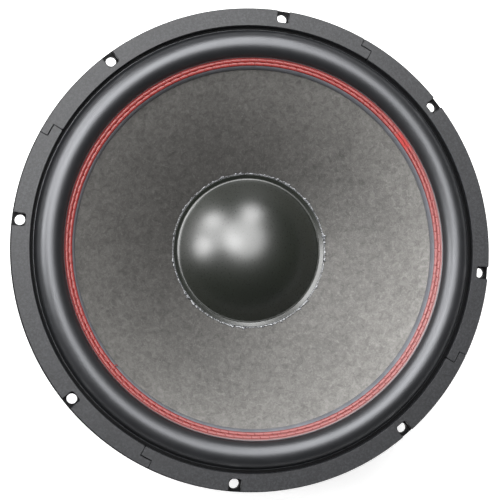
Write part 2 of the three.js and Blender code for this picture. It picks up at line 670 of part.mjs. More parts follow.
// ---- bolts through the basket's base into the top plate ----
function bolt(angle) {
  const headZ = BASE_TOP_Z + GAP;
  const headTop = headZ + BOLT_HEAD_HEIGHT;
  const shank = post(BOLT_R, BOLT_TIP_Z, headZ + 1, SHANK_SIDES, BOLT_CIRCLE_R, 0);
  const head = post(BOLT_HEAD_R, headZ, headTop, HEAD_SIDES, BOLT_CIRCLE_R, 0);
  const socketZ = headTop - BOLT_SOCKET_DEPTH;
  const socket = post(BOLT_SOCKET_R, socketZ, headTop + 1, SHANK_SIDES, BOLT_CIRCLE_R, 0);
  return fromSolid(cut(union([shank, head]), [socket])).rotateZ(angle);
}
around(BOLT_COUNT, FIRST_HOLE_DEG, (i, angle) =>
  add(`basket_bolt_${i + 1}`, bolt(angle), COLOURS.screw),
);

// ---- terminals: a housing with two sprung push buttons on each side, and their leads ----
const POLE_SIDES = [-BARREL_Y, BARREL_Y];

function terminalHousing() {
  const back = PAD_FACE_X + GAP;
  const front = back + HOUSING_DEPTH;
  const wireZ = BARREL_BOTTOM_Z + WIRE_HOLE_UP;
  const body = block(
    [back, -HOUSING_HALF_WIDTH, HOUSING_BOTTOM_Z],
    [front, HOUSING_HALF_WIDTH, HOUSING_TOP_Z],
  );
  const ears = block(
    [back, -EAR_HALF_WIDTH, HOUSING_BOTTOM_Z + 1],
    [back + EAR_THICK, EAR_HALF_WIDTH, HOUSING_TOP_Z - 1],
  );
  const barrels = POLE_SIDES.map((y) => {
    return post(BARREL_R, BARREL_BOTTOM_Z, HOUSING_BOTTOM_Z + 1, BARREL_SIDES, BARREL_X, y);
  });
  const bores = POLE_SIDES.map((y) => {
    return post(BARREL_BORE_R, BARREL_BOTTOM_Z - 1, BORE_TOP_Z, HOLE_SIDES, BARREL_X, y);
  });
  const wireHoles = POLE_SIDES.map((y) => {
    return rod(WIRE_HOLE_R, BARREL_X, front + 1, SCREW_HOLE_SIDES, y, wireZ);
  });
  const screwHoles = [-SCREW_Y, SCREW_Y].map((y) => {
    return rod(SCREW_R + GAP, back - 1, back + EAR_THICK + 1, SCREW_HOLE_SIDES, y, SCREW_Z);
  });
  const whole = union([body, ears, ...barrels]);
  return fromSolid(cut(whole, [...bores, ...wireHoles, ...screwHoles]));
}

function pushButton(y) {
  const low = BUTTON_TOP_Z - BUTTON_HEIGHT;
  const stemTop = BORE_TOP_Z - BUTTON_TRAVEL - STEM_CLEARANCE;
  const section = [
    [0, low],
    [BARREL_R - BUTTON_BEVEL.wide, low],
    [BARREL_R, low + BUTTON_BEVEL.deep],
    [BARREL_R, BUTTON_TOP_Z],
    [STEM_R, BUTTON_TOP_Z],
    [STEM_R, stemTop],
    [0, stemTop],
  ];
  return disc(section, BARREL_SIDES).translate(BARREL_X, y, 0);
}

function sectionRing(radius, sides) {
  return new THREE.Shape(arcPoints(radius, 0, 360, sides).slice(0, -1));
}

class Helix extends THREE.Curve {
  constructor(x, y, lowZ, highZ) {
    super();
    Object.assign(this, { x, y, lowZ, highZ });
  }
  getPoint(t, target = new THREE.Vector3()) {
    const angle = 2 * Math.PI * SPRING_TURNS * t;
    const x = this.x + SPRING_R * Math.cos(angle);
    const y = this.y + SPRING_R * Math.sin(angle);
    return target.set(x, y, this.lowZ + (this.highZ - this.lowZ) * t);
  }
}

function buttonSpring(y) {
  const low = BUTTON_TOP_Z + GAP + SPRING_WIRE_R;
  const high = BORE_TOP_Z - GAP - SPRING_WIRE_R;
  const extrudePath = new Helix(BARREL_X, y, low, high);
  const wire = sectionRing(SPRING_WIRE_R, SPRING_SIDES);
  return new THREE.ExtrudeGeometry(wire, { steps: SPRING_SEGMENTS, extrudePath });
}

function solderTab(y) {
  const low = HOUSING_TOP_Z + GAP;
  return block(
    [TAB_X - TAB_THICK / 2, y - TAB_HALF_WIDTH, low],
    [TAB_X + TAB_THICK / 2, y + TAB_HALF_WIDTH, low + TAB_HEIGHT],
  );
}

function terminalScrew(y) {
  const headX = PAD_FACE_X + EAR_THICK + 2 * GAP;
  const shank = rod(SCREW_R, PAD_FACE_X - SCREW_DEPTH, headX + 1, SHANK_SIDES, y, SCREW_Z);
  const head = rod(SCREW_HEAD_R, headX, headX + SCREW_HEAD_THICK, HEAD_SIDES, y, SCREW_Z);
  return fromSolid(union([shank, head]));
}

function tinselLead(y) {
  const side = Math.sign(y);
  const route = LEAD_ROUTE.map(([x, out, z]) => new THREE.Vector3(x, side * out, z));
  const extrudePath = new THREE.CatmullRomCurve3(route);
  const braid = sectionRing(LEAD_R, LEAD_SIDES);
  return new THREE.ExtrudeGeometry(braid, { steps: LEAD_SEGMENTS, extrudePath });
}

function terminalSet(side, angle) {
  const group = new THREE.Group();
  group.rotation.z = angle;
  speaker.add(group);
  add(`terminal_housing_${side}`, terminalHousing(), COLOURS.plastic, group);
  const poles = { red: BARREL_Y, black: -BARREL_Y };
  for (const [pole, y] of Object.entries(poles)) {
    const finish = COLOURS[`${pole}Button`];
    const screw = terminalScrew(Math.sign(y) * SCREW_Y);
    add(`push_button_${side}_${pole}`, pushButton(y), finish, group);
    add(`button_spring_${side}_${pole}`, buttonSpring(y), COLOURS.nickel, group);
    add(`solder_tab_${side}_${pole}`, solderTab(y), COLOURS.nickel, group);
    add(`tinsel_lead_${side}_${pole}`, tinselLead(y), COLOURS.tinsel, group);
    add(`terminal_screw_${side}_${pole}`, screw, COLOURS.screw, group);
  }
}
terminalSet("right", 0);
terminalSet("left", Math.PI);

export default speaker;
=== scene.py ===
"""Looks for the subwoofer driver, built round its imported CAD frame. Lengths in this file are millimetres."""

import math
import random

import bmesh
import bpy
import numpy as np
from mathutils import Matrix, Vector, noise

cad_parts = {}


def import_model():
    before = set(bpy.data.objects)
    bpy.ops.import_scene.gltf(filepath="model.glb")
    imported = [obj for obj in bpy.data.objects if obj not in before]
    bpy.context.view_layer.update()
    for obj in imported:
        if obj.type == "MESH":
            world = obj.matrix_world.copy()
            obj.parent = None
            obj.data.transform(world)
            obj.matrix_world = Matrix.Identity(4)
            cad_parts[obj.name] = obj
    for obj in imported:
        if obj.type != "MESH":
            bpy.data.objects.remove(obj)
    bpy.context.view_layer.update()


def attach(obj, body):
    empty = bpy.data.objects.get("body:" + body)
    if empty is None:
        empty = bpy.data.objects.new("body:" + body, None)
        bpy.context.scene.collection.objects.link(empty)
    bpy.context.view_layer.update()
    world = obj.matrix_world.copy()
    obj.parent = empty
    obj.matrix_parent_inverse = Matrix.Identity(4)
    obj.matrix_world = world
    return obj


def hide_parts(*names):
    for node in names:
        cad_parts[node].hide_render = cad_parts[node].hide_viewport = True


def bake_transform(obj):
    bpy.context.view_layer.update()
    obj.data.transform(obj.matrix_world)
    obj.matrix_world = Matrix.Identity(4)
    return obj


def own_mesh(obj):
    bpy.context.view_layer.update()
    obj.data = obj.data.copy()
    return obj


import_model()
MM = 0.001
FINE = 256  # steps round the large turned pieces
MEDIUM = 160
ON_AXIS = 1e-6  # a radius below this counts as the axis
TO_X = Matrix.Rotation(math.pi / 2, 4, "Y")  # lays a turned piece along X
CONE = "cone_assembly"
HOLE_ANGLES = [22.5 + 45 * i for i in range(8)]
HOLE_CIRCLE_R = 190.0
BOLT_CIRCLE_R = 77.0
STITCH_COUNT = 134
STITCH_PITCH = 360.0 / STITCH_COUNT  # degrees
OUTER_ROW_R, INNER_ROW_R = 152.3, 149.65
BAND_R = 150.0  # turns an angle on the stitched band into millimetres
WIRE_PITCH = 0.8
INNER_PHASE = 0.36  # the inner row's stitches are this share of a stitch ahead of the outer row's
HOLE_FADE_ALONG, HOLE_FADE_ACROSS = 14.4, 1.25  # a needle hole's fading, per stitch and per millimetre
DARNED_ANGLE = 20.0  # degrees: where the sewing overlaps its own start


# ---- geometry helpers ----
def linked(name, mesh, material):
    """A smooth-shaded object for a mesh, put in the scene."""
    mesh.shade_smooth()
    mesh.materials.append(material)
    made = bpy.data.objects.new(name, mesh)
    bpy.context.scene.collection.objects.link(made)
    return made


def new_object(name, vertices, faces, material):
    mesh = bpy.data.meshes.new(name)
    mesh.from_pydata([tuple(c * MM for c in v) for v in vertices], [], faces)
    mesh.validate()
    return linked(name, mesh, material)


def outward(made):
    """Turns every face of a closed mesh outwards."""
    work = bmesh.new()
    work.from_mesh(made.data)
    bmesh.ops.recalc_face_normals(work, faces=work.faces)
    work.to_mesh(made.data)
    work.free()
    return made


def around(r, angle, z):
    """The point at a distance from the axis, an angle in radians and a height."""
    return r * math.cos(angle), r * math.sin(angle), z


def rounded(points, segments=4):
    """Points (x, y) or (x, y, radius): the outline with each corner turned into an arc of that radius."""
    outline = []
    count = len(points)
    for i, (x, y, *rest) in enumerate(points):
        radius = rest[0] if rest else 0
        if radius <= 0:
            outline.append((x, y))
            continue
        here = np.array([x, y], float)
        before = np.array(points[i - 1][:2], float) - here
        after = np.array(points[(i + 1) % count][:2], float) - here
        length_b, length_a = np.linalg.norm(before), np.linalg.norm(after)
        before, after = before / length_b, after / length_a
        half = math.acos(max(-1, min(1, float(before @ after)))) / 2
        reach = min(radius / max(math.tan(half), 1e-6), length_b * 0.49, length_a * 0.49)
        for k in range(segments + 1):
            t = k / segments
            p = here + before * reach * (1 - t) ** 2 + after * reach * t**2
            outline.append((float(p[0]), float(p[1])))
    return outline


def lathe(name, outline, material, steps=MEDIUM, wobble=None):
    """Turns an outline of (r, z) round Z. One that starts on the axis ends there; any other is closed."""
    vertices, rows = [], []
    for r, z in outline:
        if r < ON_AXIS:
            rows.append([len(vertices)] * steps)
            vertices.append((0, 0, z))
            continue
        row = []
        for j in range(steps):
            angle = math.tau * j / steps
            dr, dz = wobble(r, z, angle) if wobble else (0, 0)
            row.append(len(vertices))
            vertices.append(around(r + dr, angle, z + dz))
        rows.append(row)
    faces = []
    pairs = list(zip(rows, rows[1:]))
    if outline[0][0] >= ON_AXIS:
        pairs.append((rows[-1], rows[0]))
    for low, high in pairs:
        for j in range(steps):
            k = (j + 1) % steps
            corner = [low[j], low[k], high[k], high[j]]
            kept = [v for n, v in enumerate(corner) if v != corner[n - 1]]
            if len(kept) > 2:
                faces.append(kept)
    return outward(new_object(name, vertices, faces, material))


def arc(centre_r, centre_z, half_width, height, start, end, count):
    """Points of an elliptical arc, from start to end degrees."""
    angles = np.radians(np.linspace(start, end, count + 1))
    return [(centre_r + half_width * math.cos(a), centre_z + height * math.sin(a)) for a in angles]


def sharpen(made, degrees):
    """Shades a piece smooth, except along edges sharper than that."""
    made.data.shade_smooth()
    made.data.set_sharp_from_angle(angle=math.radians(degrees))
    return made


def paint(made, material, low_r, high_r, low_z=0.0):
    """Gives another material to the faces of a turned piece between two radii, in millimetres."""
    made.data.materials.append(material)
    slot = len(made.data.materials) - 1
    for face in made.data.polygons:
        centre = face.center / MM
        if low_r < math.hypot(centre.x, centre.y) < high_r and centre.z > low_z:
            face.material_index = slot


def weighted(made):
    modifier = made.modifiers.new("normals", "WEIGHTED_NORMAL")
    modifier.keep_sharp = True
    modifier.weight = 80
    return made


def extruded(name, outline, low, high, material, bevel=0.0, segments=2):
    """An outline in X and Y given a height, with its sharper edges rounded when a bevel is given."""
    work = bmesh.new()
    bottom = [work.verts.new((x * MM, y * MM, low * MM)) for x, y in outline]
    face = work.faces.new(bottom)
    grown = bmesh.ops.extrude_face_region(work, geom=[face])
    raised = [v for v in grown["geom"] if isinstance(v, bmesh.types.BMVert)]
    bmesh.ops.translate(work, verts=raised, vec=(0, 0, (high - low) * MM))
    bmesh.ops.recalc_face_normals(work, faces=work.faces)
    if bevel:
        least = math.radians(30)
        edges = [e for e in work.edges if len(e.link_faces) == 2 and e.calc_face_angle() > least]
        sizes = {"offset": bevel * MM, "segments": segments}
        bmesh.ops.bevel(work, geom=edges, affect="EDGES", clamp_overlap=True, **sizes)
    mesh = bpy.data.meshes.new(name)
    work.to_mesh(mesh)
    work.free()
    return linked(name, mesh, material)


def place(made, angle=0.0, offset=(0, 0, 0)):
    """Bakes a shift and after it a turn about Z, in degrees, into the mesh."""
    turn = Matrix.Rotation(math.radians(angle), 4, "Z")
    made.data.transform(turn @ Matrix.Translation(Vector(offset) * MM))
    return made


def grid_faces(base, steps, sides):
    """Faces of a closed tube whose rings of sides vertices start at base."""
    faces = []
    for i in range(steps - 1):
        for k in range(sides):
            a, b = base + i * sides + k, base + i * sides + (k + 1) % sides
            faces.append((a, b, b + sides, a + sides))
    faces.append(tuple(base + k for k in range(sides))[::-1])
    faces.append(tuple(base + (steps - 1) * sides + k for k in range(sides)))
    return faces


def tube(name, path, radius, material, sides, twist=0.0):
    """A tube along points. twist gives a lobed section that many turns."""
    points = [np.array(p, float) for p in path]
    vertices = []
    up = np.array((0, 0, 1), float)
    for i, p in enumerate(points):
        ahead = points[min(i + 1, len(points) - 1)] - points[max(i - 1, 0)]
        ahead /= np.linalg.norm(ahead)
        side = np.cross(ahead, up)
        side /= max(np.linalg.norm(side), 1e-9)
        over = np.cross(side, ahead)
        turned = twist * 2 * math.pi * i / (len(points) - 1)
        for k in range(sides):
            a = math.tau * k / sides
            lobes = 1.0 + (0.16 * math.cos(3 * (a + turned)) if twist else 0.0)
            ring = side * math.cos(a) + over * math.sin(a)
            vertices.append(tuple(p + ring * radius * lobes))
    return new_object(name, vertices, grid_faces(0, len(points), sides), material)


def smooth_path(points, count):
    """A Catmull-Rom curve through points, as count points evenly spaced in its parameter."""
    p = [np.array(q, float) for q in points]
    p = [2 * p[0] - p[1], *p, 2 * p[-1] - p[-2]]
    found = []
    for n in range(count):
        t = n / (count - 1) * (len(p) - 3)
        i = min(int(t), len(p) - 4)
        u = t - i
        a, b, c, d = p[i : i + 4]
        square, cube = 2 * a - 5 * b + 4 * c - d, 3 * b - a - 3 * c + d
        found.append(0.5 * ((2 * b) + (c - a) * u + square * u**2 + cube * u**3))
    return found


def joined(name, objects):
    """One object from several, keeping their materials."""
    made = objects[0]
    chosen = {"selected_editable_objects": objects, "selected_objects": objects}
    with bpy.context.temp_override(active_object=made, **chosen):
        bpy.ops.object.join()
    made.name = name
    return made


def boolean(made, cutter, operation="DIFFERENCE"):
    modifier = made.modifiers.new("cut", "BOOLEAN")
    modifier.operation = operation
    modifier.solver = "MANIFOLD"
    modifier.object = cutter
    apply_all(made)
    bpy.data.objects.remove(cutter)
    return made


def apply_all(made):
    """Replaces the mesh by what its modifiers make of it."""
    graph = bpy.context.evaluated_depsgraph_get()
    graph.update()
    mesh = bpy.data.meshes.new_from_object(made.evaluated_get(graph))
    made.modifiers.clear()
    made.data = mesh
    return made


def drilled(made, outline, steps, angle=0.0, offset=(0, 0, 0), along_x=False):
    """Cuts a turned hole out of a piece. Its walls have the piece's own material."""
    cutter = lathe("drill", outline, made.data.materials[0], steps)
    if along_x:
        cutter.data.transform(TO_X)
    return boolean(made, place(cutter, angle, offset))


def box_piece(name, low, high, material, bevel, segments=3):
    outline = [(low[0], low[1]), (high[0], low[1]), (high[0], high[1]), (low[0], high[1])]
    return extruded(name, outline, low[2], high[2], material, bevel, segments)


def settle(made, body, slot, *nodes):
    """The piece rides on a body and stands for CAD nodes, which it hides; slot is not used."""
    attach(made, body)
    if nodes:
        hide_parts(*nodes)
    return made


def radial_blend(made, node):
    """Bakes the piece's placement into its mesh and stands for a CAD node, which it hides."""
    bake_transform(made)
    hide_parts(node)
    return made


# ---- materials ----
MIX_INPUTS = (0, 6, 7)  # a colour mix node's share and its two colours


class Nodes:
    """A material's node tree with short ways to add and join nodes."""

    def __init__(self, name):
        self.material = bpy.data.materials.new(name)
        self.material.use_nodes = True
        self.tree = self.material.node_tree
        self.shader = self.tree.nodes["Principled BSDF"]
        self.place = self.tree.nodes.new("ShaderNodeTexCoord").outputs["Object"]

    def join(self, sockets, values):
        """Links each input to another node's output, or sets it to a number or a colour."""
        for socket, value in zip(sockets, values):
            if isinstance(value, bpy.types.NodeSocket):
                self.tree.links.new(value, socket)
            elif isinstance(value, tuple) and len(value) == 3 and socket.type == "RGBA":
                socket.default_value = (*value, 1)
            else:
                socket.default_value = value

    def add(self, kind, **inputs):
        node = self.tree.nodes.new(kind)
        self.join([node.inputs[key] for key in inputs], inputs.values())
        return node

    def noise(self, scale, detail=4.0, rough=0.55, vector=None, distortion=0.0):
        where = {"Vector": vector or self.place, "Distortion": distortion}
        node = self.add("ShaderNodeTexNoise", Scale=scale, Detail=detail, Roughness=rough, **where)
        return node.outputs["Fac"]

    def cells(self, scale, feature="F1"):
        node = self.add("ShaderNodeTexVoronoi", Scale=scale, Vector=self.place)
        node.feature = feature
        return node.outputs["Distance"]

    def math(self, operation, a, b=0.0, c=0.0):
        node = self.tree.nodes.new("ShaderNodeMath")
        node.operation = operation
        self.join(node.inputs, (a, b, c))
        return node.outputs[0]

    def plus(self, a, b):
        return self.math("ADD", a, b)

    def times(self, a, b):
        return self.math("MULTIPLY", a, b)

    def ramp(self, value, stops):
        """A colour ramp; a stop is (place, colour) with a grey number or an (r, g, b)."""
        node = self.tree.nodes.new("ShaderNodeValToRGB")
        band = node.color_ramp
        for i, (where, colour) in enumerate(stops):
            stop = band.elements[i] if i < 2 else band.elements.new(where)
            stop.position = where
            colour = (colour,) * 3 if isinstance(colour, (int, float)) else colour
            stop.color = (*colour, 1)
        self.tree.links.new(value, node.inputs["Fac"])
        return node.outputs["Color"]

    def mix(self, share, a, b, blend="MIX"):
        node = self.tree.nodes.new("ShaderNodeMix")
        node.data_type = "RGBA"
        node.blend_type = blend
        self.join([node.inputs[i] for i in MIX_INPUTS], (share, a, b))
        return node.outputs[2]

    def axes(self):
        """X, Y and Z of the place on the object, in metres."""
        return self.add("ShaderNodeSeparateXYZ", Vector=self.place).outputs[:3]

    def polar(self):
        """Distance from the axis in millimetres, and the angle in radians."""
        x, y = self.axes()[:2]
        squares = self.plus(self.times(x, x), self.times(y, y))
        return self.times(self.math("SQRT", squares), 1000.0), self.math("ARCTAN2", y, x)

    def waves(self, axis, pitch):
        """A sine wave along an axis, with that pitch in millimetres."""
        return self.math("SINE", self.times(axis, math.tau * 1000 / pitch))

    def vector(self, x, y, z):
        node = self.tree.nodes.new("ShaderNodeCombineXYZ")
        self.join(node.inputs, (x, y, z))
        return node.outputs[0]

    def bump(self, height, strength, distance_mm):
        node = self.add("ShaderNodeBump", Strength=strength, Distance=distance_mm * MM, Height=height)
        return node.outputs["Normal"]

    def feed(self, **inputs):
        """Links or sets the shader's own inputs and gives the finished material."""
        self.join([self.shader.inputs[key.replace("_", " ")] for key in inputs], inputs.values())
        return self.material


def scaled(colour, factor):
    return tuple(min(1.0, c * factor) for c in colour)


def moulded(name, colour, rough, grain=0.25, grain_scale=2600.0, patch=0.14, metallic=0.0):
    """Moulded or coated stock: slow patches in colour and gloss, and a fine grain."""
    n = Nodes(name)
    slow = n.noise(55.0, 5.0)
    fine = n.noise(grain_scale, 3.0)
    tint = n.ramp(slow, [(0.3, scaled(colour, 1 - patch)), (0.7, scaled(colour, 1 + patch))])
    speck = n.mix(n.times(fine, 0.25), tint, scaled(colour, 1.6))
    gloss = n.ramp(n.noise(140.0, 6.0), [(0.25, rough * 0.85), (0.75, min(1.0, rough * 1.2))])
    relief = n.bump(fine, grain, 0.15)
    return n.feed(Base_Color=speck, Roughness=gloss, Metallic=metallic, Normal=relief)


def powder_coat():
    n = Nodes("textured_black_coat")
    orange_peel = n.cells(900.0, feature="SMOOTH_F1")
    fine = n.noise(2400.0, 3.0)
    slow = n.noise(30.0, 5.0)
    tint = n.ramp(slow, [(0.3, (0.012, 0.012, 0.014)), (0.75, (0.021, 0.021, 0.024))])
    dust = n.ramp(n.noise(190.0, 8.0, 0.7), [(0.62, 0.0), (0.8, 0.35)])
    colour = n.mix(dust, tint, (0.05, 0.05, 0.052))
    rough = n.ramp(n.noise(90.0, 6.0), [(0.2, 0.42), (0.8, 0.6)])
    height = n.plus(n.times(orange_peel, 0.6), n.times(fine, 0.4))
    return n.feed(Base_Color=colour, Roughness=rough, Metallic=0.15, Normal=n.bump(height, 0.35, 0.25))


def gasket_board():
    n = Nodes("pressed_gasket_board")
    fibre = n.noise(1500.0, 6.0, 0.7, distortion=0.4)
    flock = n.noise(520.0, 5.0, 0.75, distortion=0.3)
    cloud = n.noise(70.0, 6.0, 0.6)
    base = n.ramp(cloud, [(0.25, (0.0060, 0.0064, 0.0078)), (0.75, (0.0115, 0.0120, 0.0138))])
    base = n.mix(n.ramp(flock, [(0.44, 0.0), (0.62, 0.85)]), base, (0.030, 0.031, 0.035))
    colour = n.mix(n.ramp(fibre, [(0.52, 0.0), (0.78, 0.6)]), base, (0.040, 0.042, 0.047))
    pits = n.ramp(n.cells(800.0), [(0.0, 0.0), (0.35, 1.0)])
    height = n.plus(n.times(fibre, 0.5), n.times(pits, 0.3))
    height = n.plus(height, n.times(flock, 0.9))
    relief = n.bump(height, 0.45, 0.22)
    return n.feed(Base_Color=colour, Roughness=0.52, Specular_IOR_Level=0.55, Normal=relief)


def rubber(name, dark, light, rough, specular, tint=(1.0, 1.0, 1.0), ior=1.5):
    n = Nodes(name)
    slow = n.noise(22.0, 5.0)
    fine = n.noise(2000.0, 4.0)
    bloom = n.ramp(n.noise(120.0, 7.0, 0.65), [(0.45, 0.0), (0.85, 0.5)])
    base = n.ramp(slow, [(0.3, dark), (0.7, light)])
    colour = n.mix(bloom, base, scaled(light, 1.8))
    gloss = n.ramp(n.noise(60.0, 6.0), [(0.2, rough * 0.93), (0.8, rough * 1.07)])
    return n.feed(
        Base_Color=colour,
        Roughness=gloss,
        IOR=ior,
        Specular_IOR_Level=specular,
        Specular_Tint=tint,
        Normal=n.bump(fine, 0.12, 0.15),
    )


def needle_holes(n, radius, angle):
    """1 in the needle holes of both rows of stitches, 0 elsewhere: the mask of the painted shade in the holes.
    """
    found = None
    for row_r, phase in ((OUTER_ROW_R, 0.0), (INNER_ROW_R, INNER_PHASE)):
        turns = n.math("MULTIPLY_ADD", angle, STITCH_COUNT / math.tau, 0.5 - phase)
        along = n.times(n.math("PINGPONG", turns, 0.5), HOLE_FADE_ALONG)
        across = n.times(n.math("SUBTRACT", radius, row_r), HOLE_FADE_ACROSS)
        away = n.math("SQRT", n.plus(n.times(along, along), n.times(across, across)))
        dark = n.math("SUBTRACT", 1.0, n.math("SMOOTH_MIN", 1.0, n.times(away, 0.95), 0.2))
        found = dark if found is None else n.math("MAXIMUM", found, dark)
    return n.math("MAXIMUM", found, 0.0)


def thread():
    """Glossy red thread, with painted shade in its needle holes. A darned stretch, where the sewing overlaps,
    is duller and brighter red.
    """
    n = Nodes("red_polyester_thread")
    radius, angle = n.polar()
    along = n.times(angle, BAND_R)
    strand = n.math("SINE", n.plus(n.times(along, 7.0), n.times(radius, 5.0)))
    fibre = n.noise(1.0, 4.0, vector=n.vector(n.times(along, 1.2), n.times(radius, 6.0), 0.0))
    tint = n.ramp(fibre, [(0.3, (0.17, 0.011, 0.009)), (0.72, (0.27, 0.023, 0.019))])
    holes = needle_holes(n, radius, angle)
    # Painted shade: the needle holes are darkened, and their gloss dulled.
    tint = n.mix(holes, tint, (0.060, 0.003, 0.003))
    rough = n.mix(holes, (0.33, 0.33, 0.33), (0.7, 0.7, 0.7))
    away = n.math("ABSOLUTE", n.math("SUBTRACT", along, BAND_R * math.radians(DARNED_ANGLE)))
    ragged = n.math("MULTIPLY_ADD", n.noise(420.0, 4.0, 0.7), 0.6, n.times(away, 0.04))
    darned = n.ramp(ragged, [(0.50, 1.0), (0.74, 0.0)])
    tint = n.mix(darned, tint, (0.33, 0.015, 0.012))
    lift = n.plus(n.times(strand, 0.5), fibre)
    return n.feed(
        Base_Color=tint,
        Roughness=n.mix(darned, rough, (0.7, 0.7, 0.7)),
        Specular_IOR_Level=0.72,
        Sheen_Weight=0.05,
        Sheen_Roughness=0.35,
        Sheen_Tint=(1.0, 0.8, 0.8),
        Normal=n.bump(lift, 0.2, 0.08),
    )


def cone_paper():
    n = Nodes("pressed_cone_paper")
    radius, angle = n.polar()
    swirl = n.vector(n.times(angle, 0.12), n.times(radius, MM), n.axes()[2])
    streak = n.noise(420.0, 7.0, 0.65, vector=swirl, distortion=1.2)
    grain = n.noise(900.0, 6.0, 0.7, distortion=0.8)
    fine = n.noise(2600.0, 4.0, 0.7)
    mottle = n.noise(190.0, 5.0, 0.65, distortion=0.9)
    cloud = n.noise(28.0, 4.0, 0.5)
    base = n.ramp(mottle, [(0.32, (0.122, 0.118, 0.111)), (0.68, (0.222, 0.215, 0.204))])
    shade = n.ramp(cloud, [(0.3, 0.90), (0.7, 1.0)])
    base = n.mix(1.0, base, shade, "MULTIPLY")
    # Painted shade: the paper is darker towards the cone's middle, standing in for the shade deep in the bowl.
    reach = n.times(radius, 1 / 200)
    centre_shade = n.ramp(reach, [(0.33, 0.51), (0.53, 0.62), (0.70, 0.82), (0.74, 0.90)])
    base = n.mix(1.0, base, centre_shade, "MULTIPLY")
    fibres = n.ramp(streak, [(0.5, 0.0), (0.75, 0.42)])
    base = n.mix(fibres, base, (0.27, 0.26, 0.25))
    specks = n.ramp(grain, [(0.30, 0.55), (0.46, 0.0)])
    colour = n.mix(specks, base, (0.065, 0.062, 0.060))
    lift = n.plus(n.times(grain, 0.6), n.times(fine, 0.25))
    lift = n.plus(lift, n.times(mottle, 0.9))
    relief = n.bump(lift, 0.42, 0.5)
    return n.feed(Base_Color=colour, Roughness=0.58, Metallic=0.7, Specular_IOR_Level=1.0, Normal=relief)


def gloss_cap():
    n = Nodes("gloss_black_cap")
    slow = n.noise(18.0, 3.0)
    tint = n.ramp(slow, [(0.3, (0.0045, 0.0062, 0.0038)), (0.7, (0.0075, 0.0098, 0.0060))])
    scuff = n.noise(650.0, 8.0, 0.75, distortion=0.5)
    rough = n.ramp(scuff, [(0.4, 0.27), (0.8, 0.34)])
    ripple = n.noise(30.0, 2.0)
    return n.feed(
        Base_Color=tint,
        Roughness=rough,
        Specular_IOR_Level=0.85,
        Coat_Weight=0.7,
        Coat_Roughness=0.36,
        Normal=n.bump(ripple, 0.05, 0.3),
    )


def clear_glue():
    n = Nodes("clear_adhesive")
    lump = n.noise(700.0, 4.0, 0.6)
    tint = n.ramp(lump, [(0.4, (0.03, 0.031, 0.033)), (0.72, (0.33, 0.34, 0.36))])
    return n.feed(
        Base_Color=tint,
        Roughness=0.12,
        Specular_IOR_Level=0.8,
        Coat_Weight=0.8,
        Coat_Roughness=0.05,
        Normal=n.bump(lump, 0.6, 0.6),
    )


def dark_glue():
    n = Nodes("black_adhesive")
    lump = n.noise(260.0, 4.0)
    tint = n.ramp(lump, [(0.3, (0.010, 0.010, 0.011)), (0.7, (0.022, 0.022, 0.024))])
    return n.feed(Base_Color=tint, Roughness=0.22, Coat_Weight=0.4, Normal=n.bump(lump, 0.5, 0.8))


def spider_cloth():
    n = Nodes("woven_spider_cloth")
    x, y = n.axes()[:2]
    weave = n.times(n.waves(x, 1.1), n.waves(y, 1.1))
    stain = n.noise(60.0, 5.0)
    tint = n.ramp(stain, [(0.3, (0.018, 0.020, 0.023)), (0.7, (0.032, 0.035, 0.040))])
    share = n.math("MULTIPLY_ADD", weave, 0.25, 0.3)
    colour = n.mix(share, tint, (0.065, 0.070, 0.078))
    return n.feed(Base_Color=colour, Roughness=0.75, Sheen_Weight=0.2, Normal=n.bump(weave, 0.7, 0.25))


def turned_metal(name, colour, rough, metallic=1.0):
    """Metal turned in a lathe: fine rings about the axis, and stains."""
    n = Nodes(name)
    rings = 2.2  # per millimetre
    radius, angle = n.polar()
    reach = n.plus(n.times(radius, rings), n.times(n.axes()[2], 1000 * rings))
    line = n.noise(1.0, 6.0, 0.7, vector=n.vector(reach, n.times(angle, 0.6), 0.0))
    stain = n.noise(45.0, 7.0, 0.65)
    tint = n.ramp(stain, [(0.3, scaled(colour, 0.78)), (0.7, scaled(colour, 1.12))])
    gloss = n.ramp(line, [(0.25, rough * 0.75), (0.75, rough * 1.35)])
    return n.feed(Base_Color=tint, Roughness=gloss, Metallic=metallic, Normal=n.bump(line, 0.18, 0.1))


def wound_copper():
    n = Nodes("enamelled_copper_wire")
    turn = n.waves(n.axes()[2], WIRE_PITCH)
    stain = n.noise(80.0, 5.0)
    tint = n.ramp(stain, [(0.3, (0.36, 0.12, 0.045)), (0.7, (0.55, 0.20, 0.08))])
    return n.feed(Base_Color=tint, Roughness=0.3, Metallic=0.9, Normal=n.bump(turn, 0.8, 0.25))


def ferrite():
    n = Nodes("sintered_ferrite")
    fine = n.noise(1100.0, 7.0, 0.7)
    tint = n.ramp(n.noise(50.0, 5.0), [(0.3, (0.020, 0.020, 0.022)), (0.7, (0.036, 0.036, 0.038))])
    return n.feed(Base_Color=tint, Roughness=0.6, Metallic=0.2, Normal=n.bump(fine, 0.4, 0.3))


def braided_tinsel():
    n = Nodes("braided_tinsel")
    x, y, z = n.axes()
    per_metre = math.tau * 1000 / 1.6
    one = n.plus(n.times(x, per_metre), n.times(y, 2 * per_metre))
    two = n.math("SUBTRACT", n.times(x, per_metre), n.times(z, 2 * per_metre))
    braid = n.times(n.math("SINE", one), n.math("SINE", two))
    tint = n.ramp(n.noise(400.0, 4.0), [(0.3, (0.46, 0.36, 0.24)), (0.7, (0.72, 0.62, 0.48))])
    return n.feed(Base_Color=tint, Roughness=0.38, Metallic=0.85, Normal=n.bump(braid, 0.9, 0.3))


def perforated_screen():
    n = Nodes("woven_vent_screen")
    x, y = n.axes()[:2]
    warp, weft = (n.math("ABSOLUTE", n.waves(axis, 3.6)) for axis in (x, y))
    open_share = n.times(warp, weft)
    # Painted shade: the openings between the wires are near black, for the dark vent seen through them.
    tint = n.ramp(open_share, [(0.25, (0.10, 0.10, 0.105)), (0.5, (0.004, 0.004, 0.004))])
    return n.feed(Base_Color=tint, Roughness=0.45, Metallic=0.7, Normal=n.bump(open_share, -1.0, 0.5))


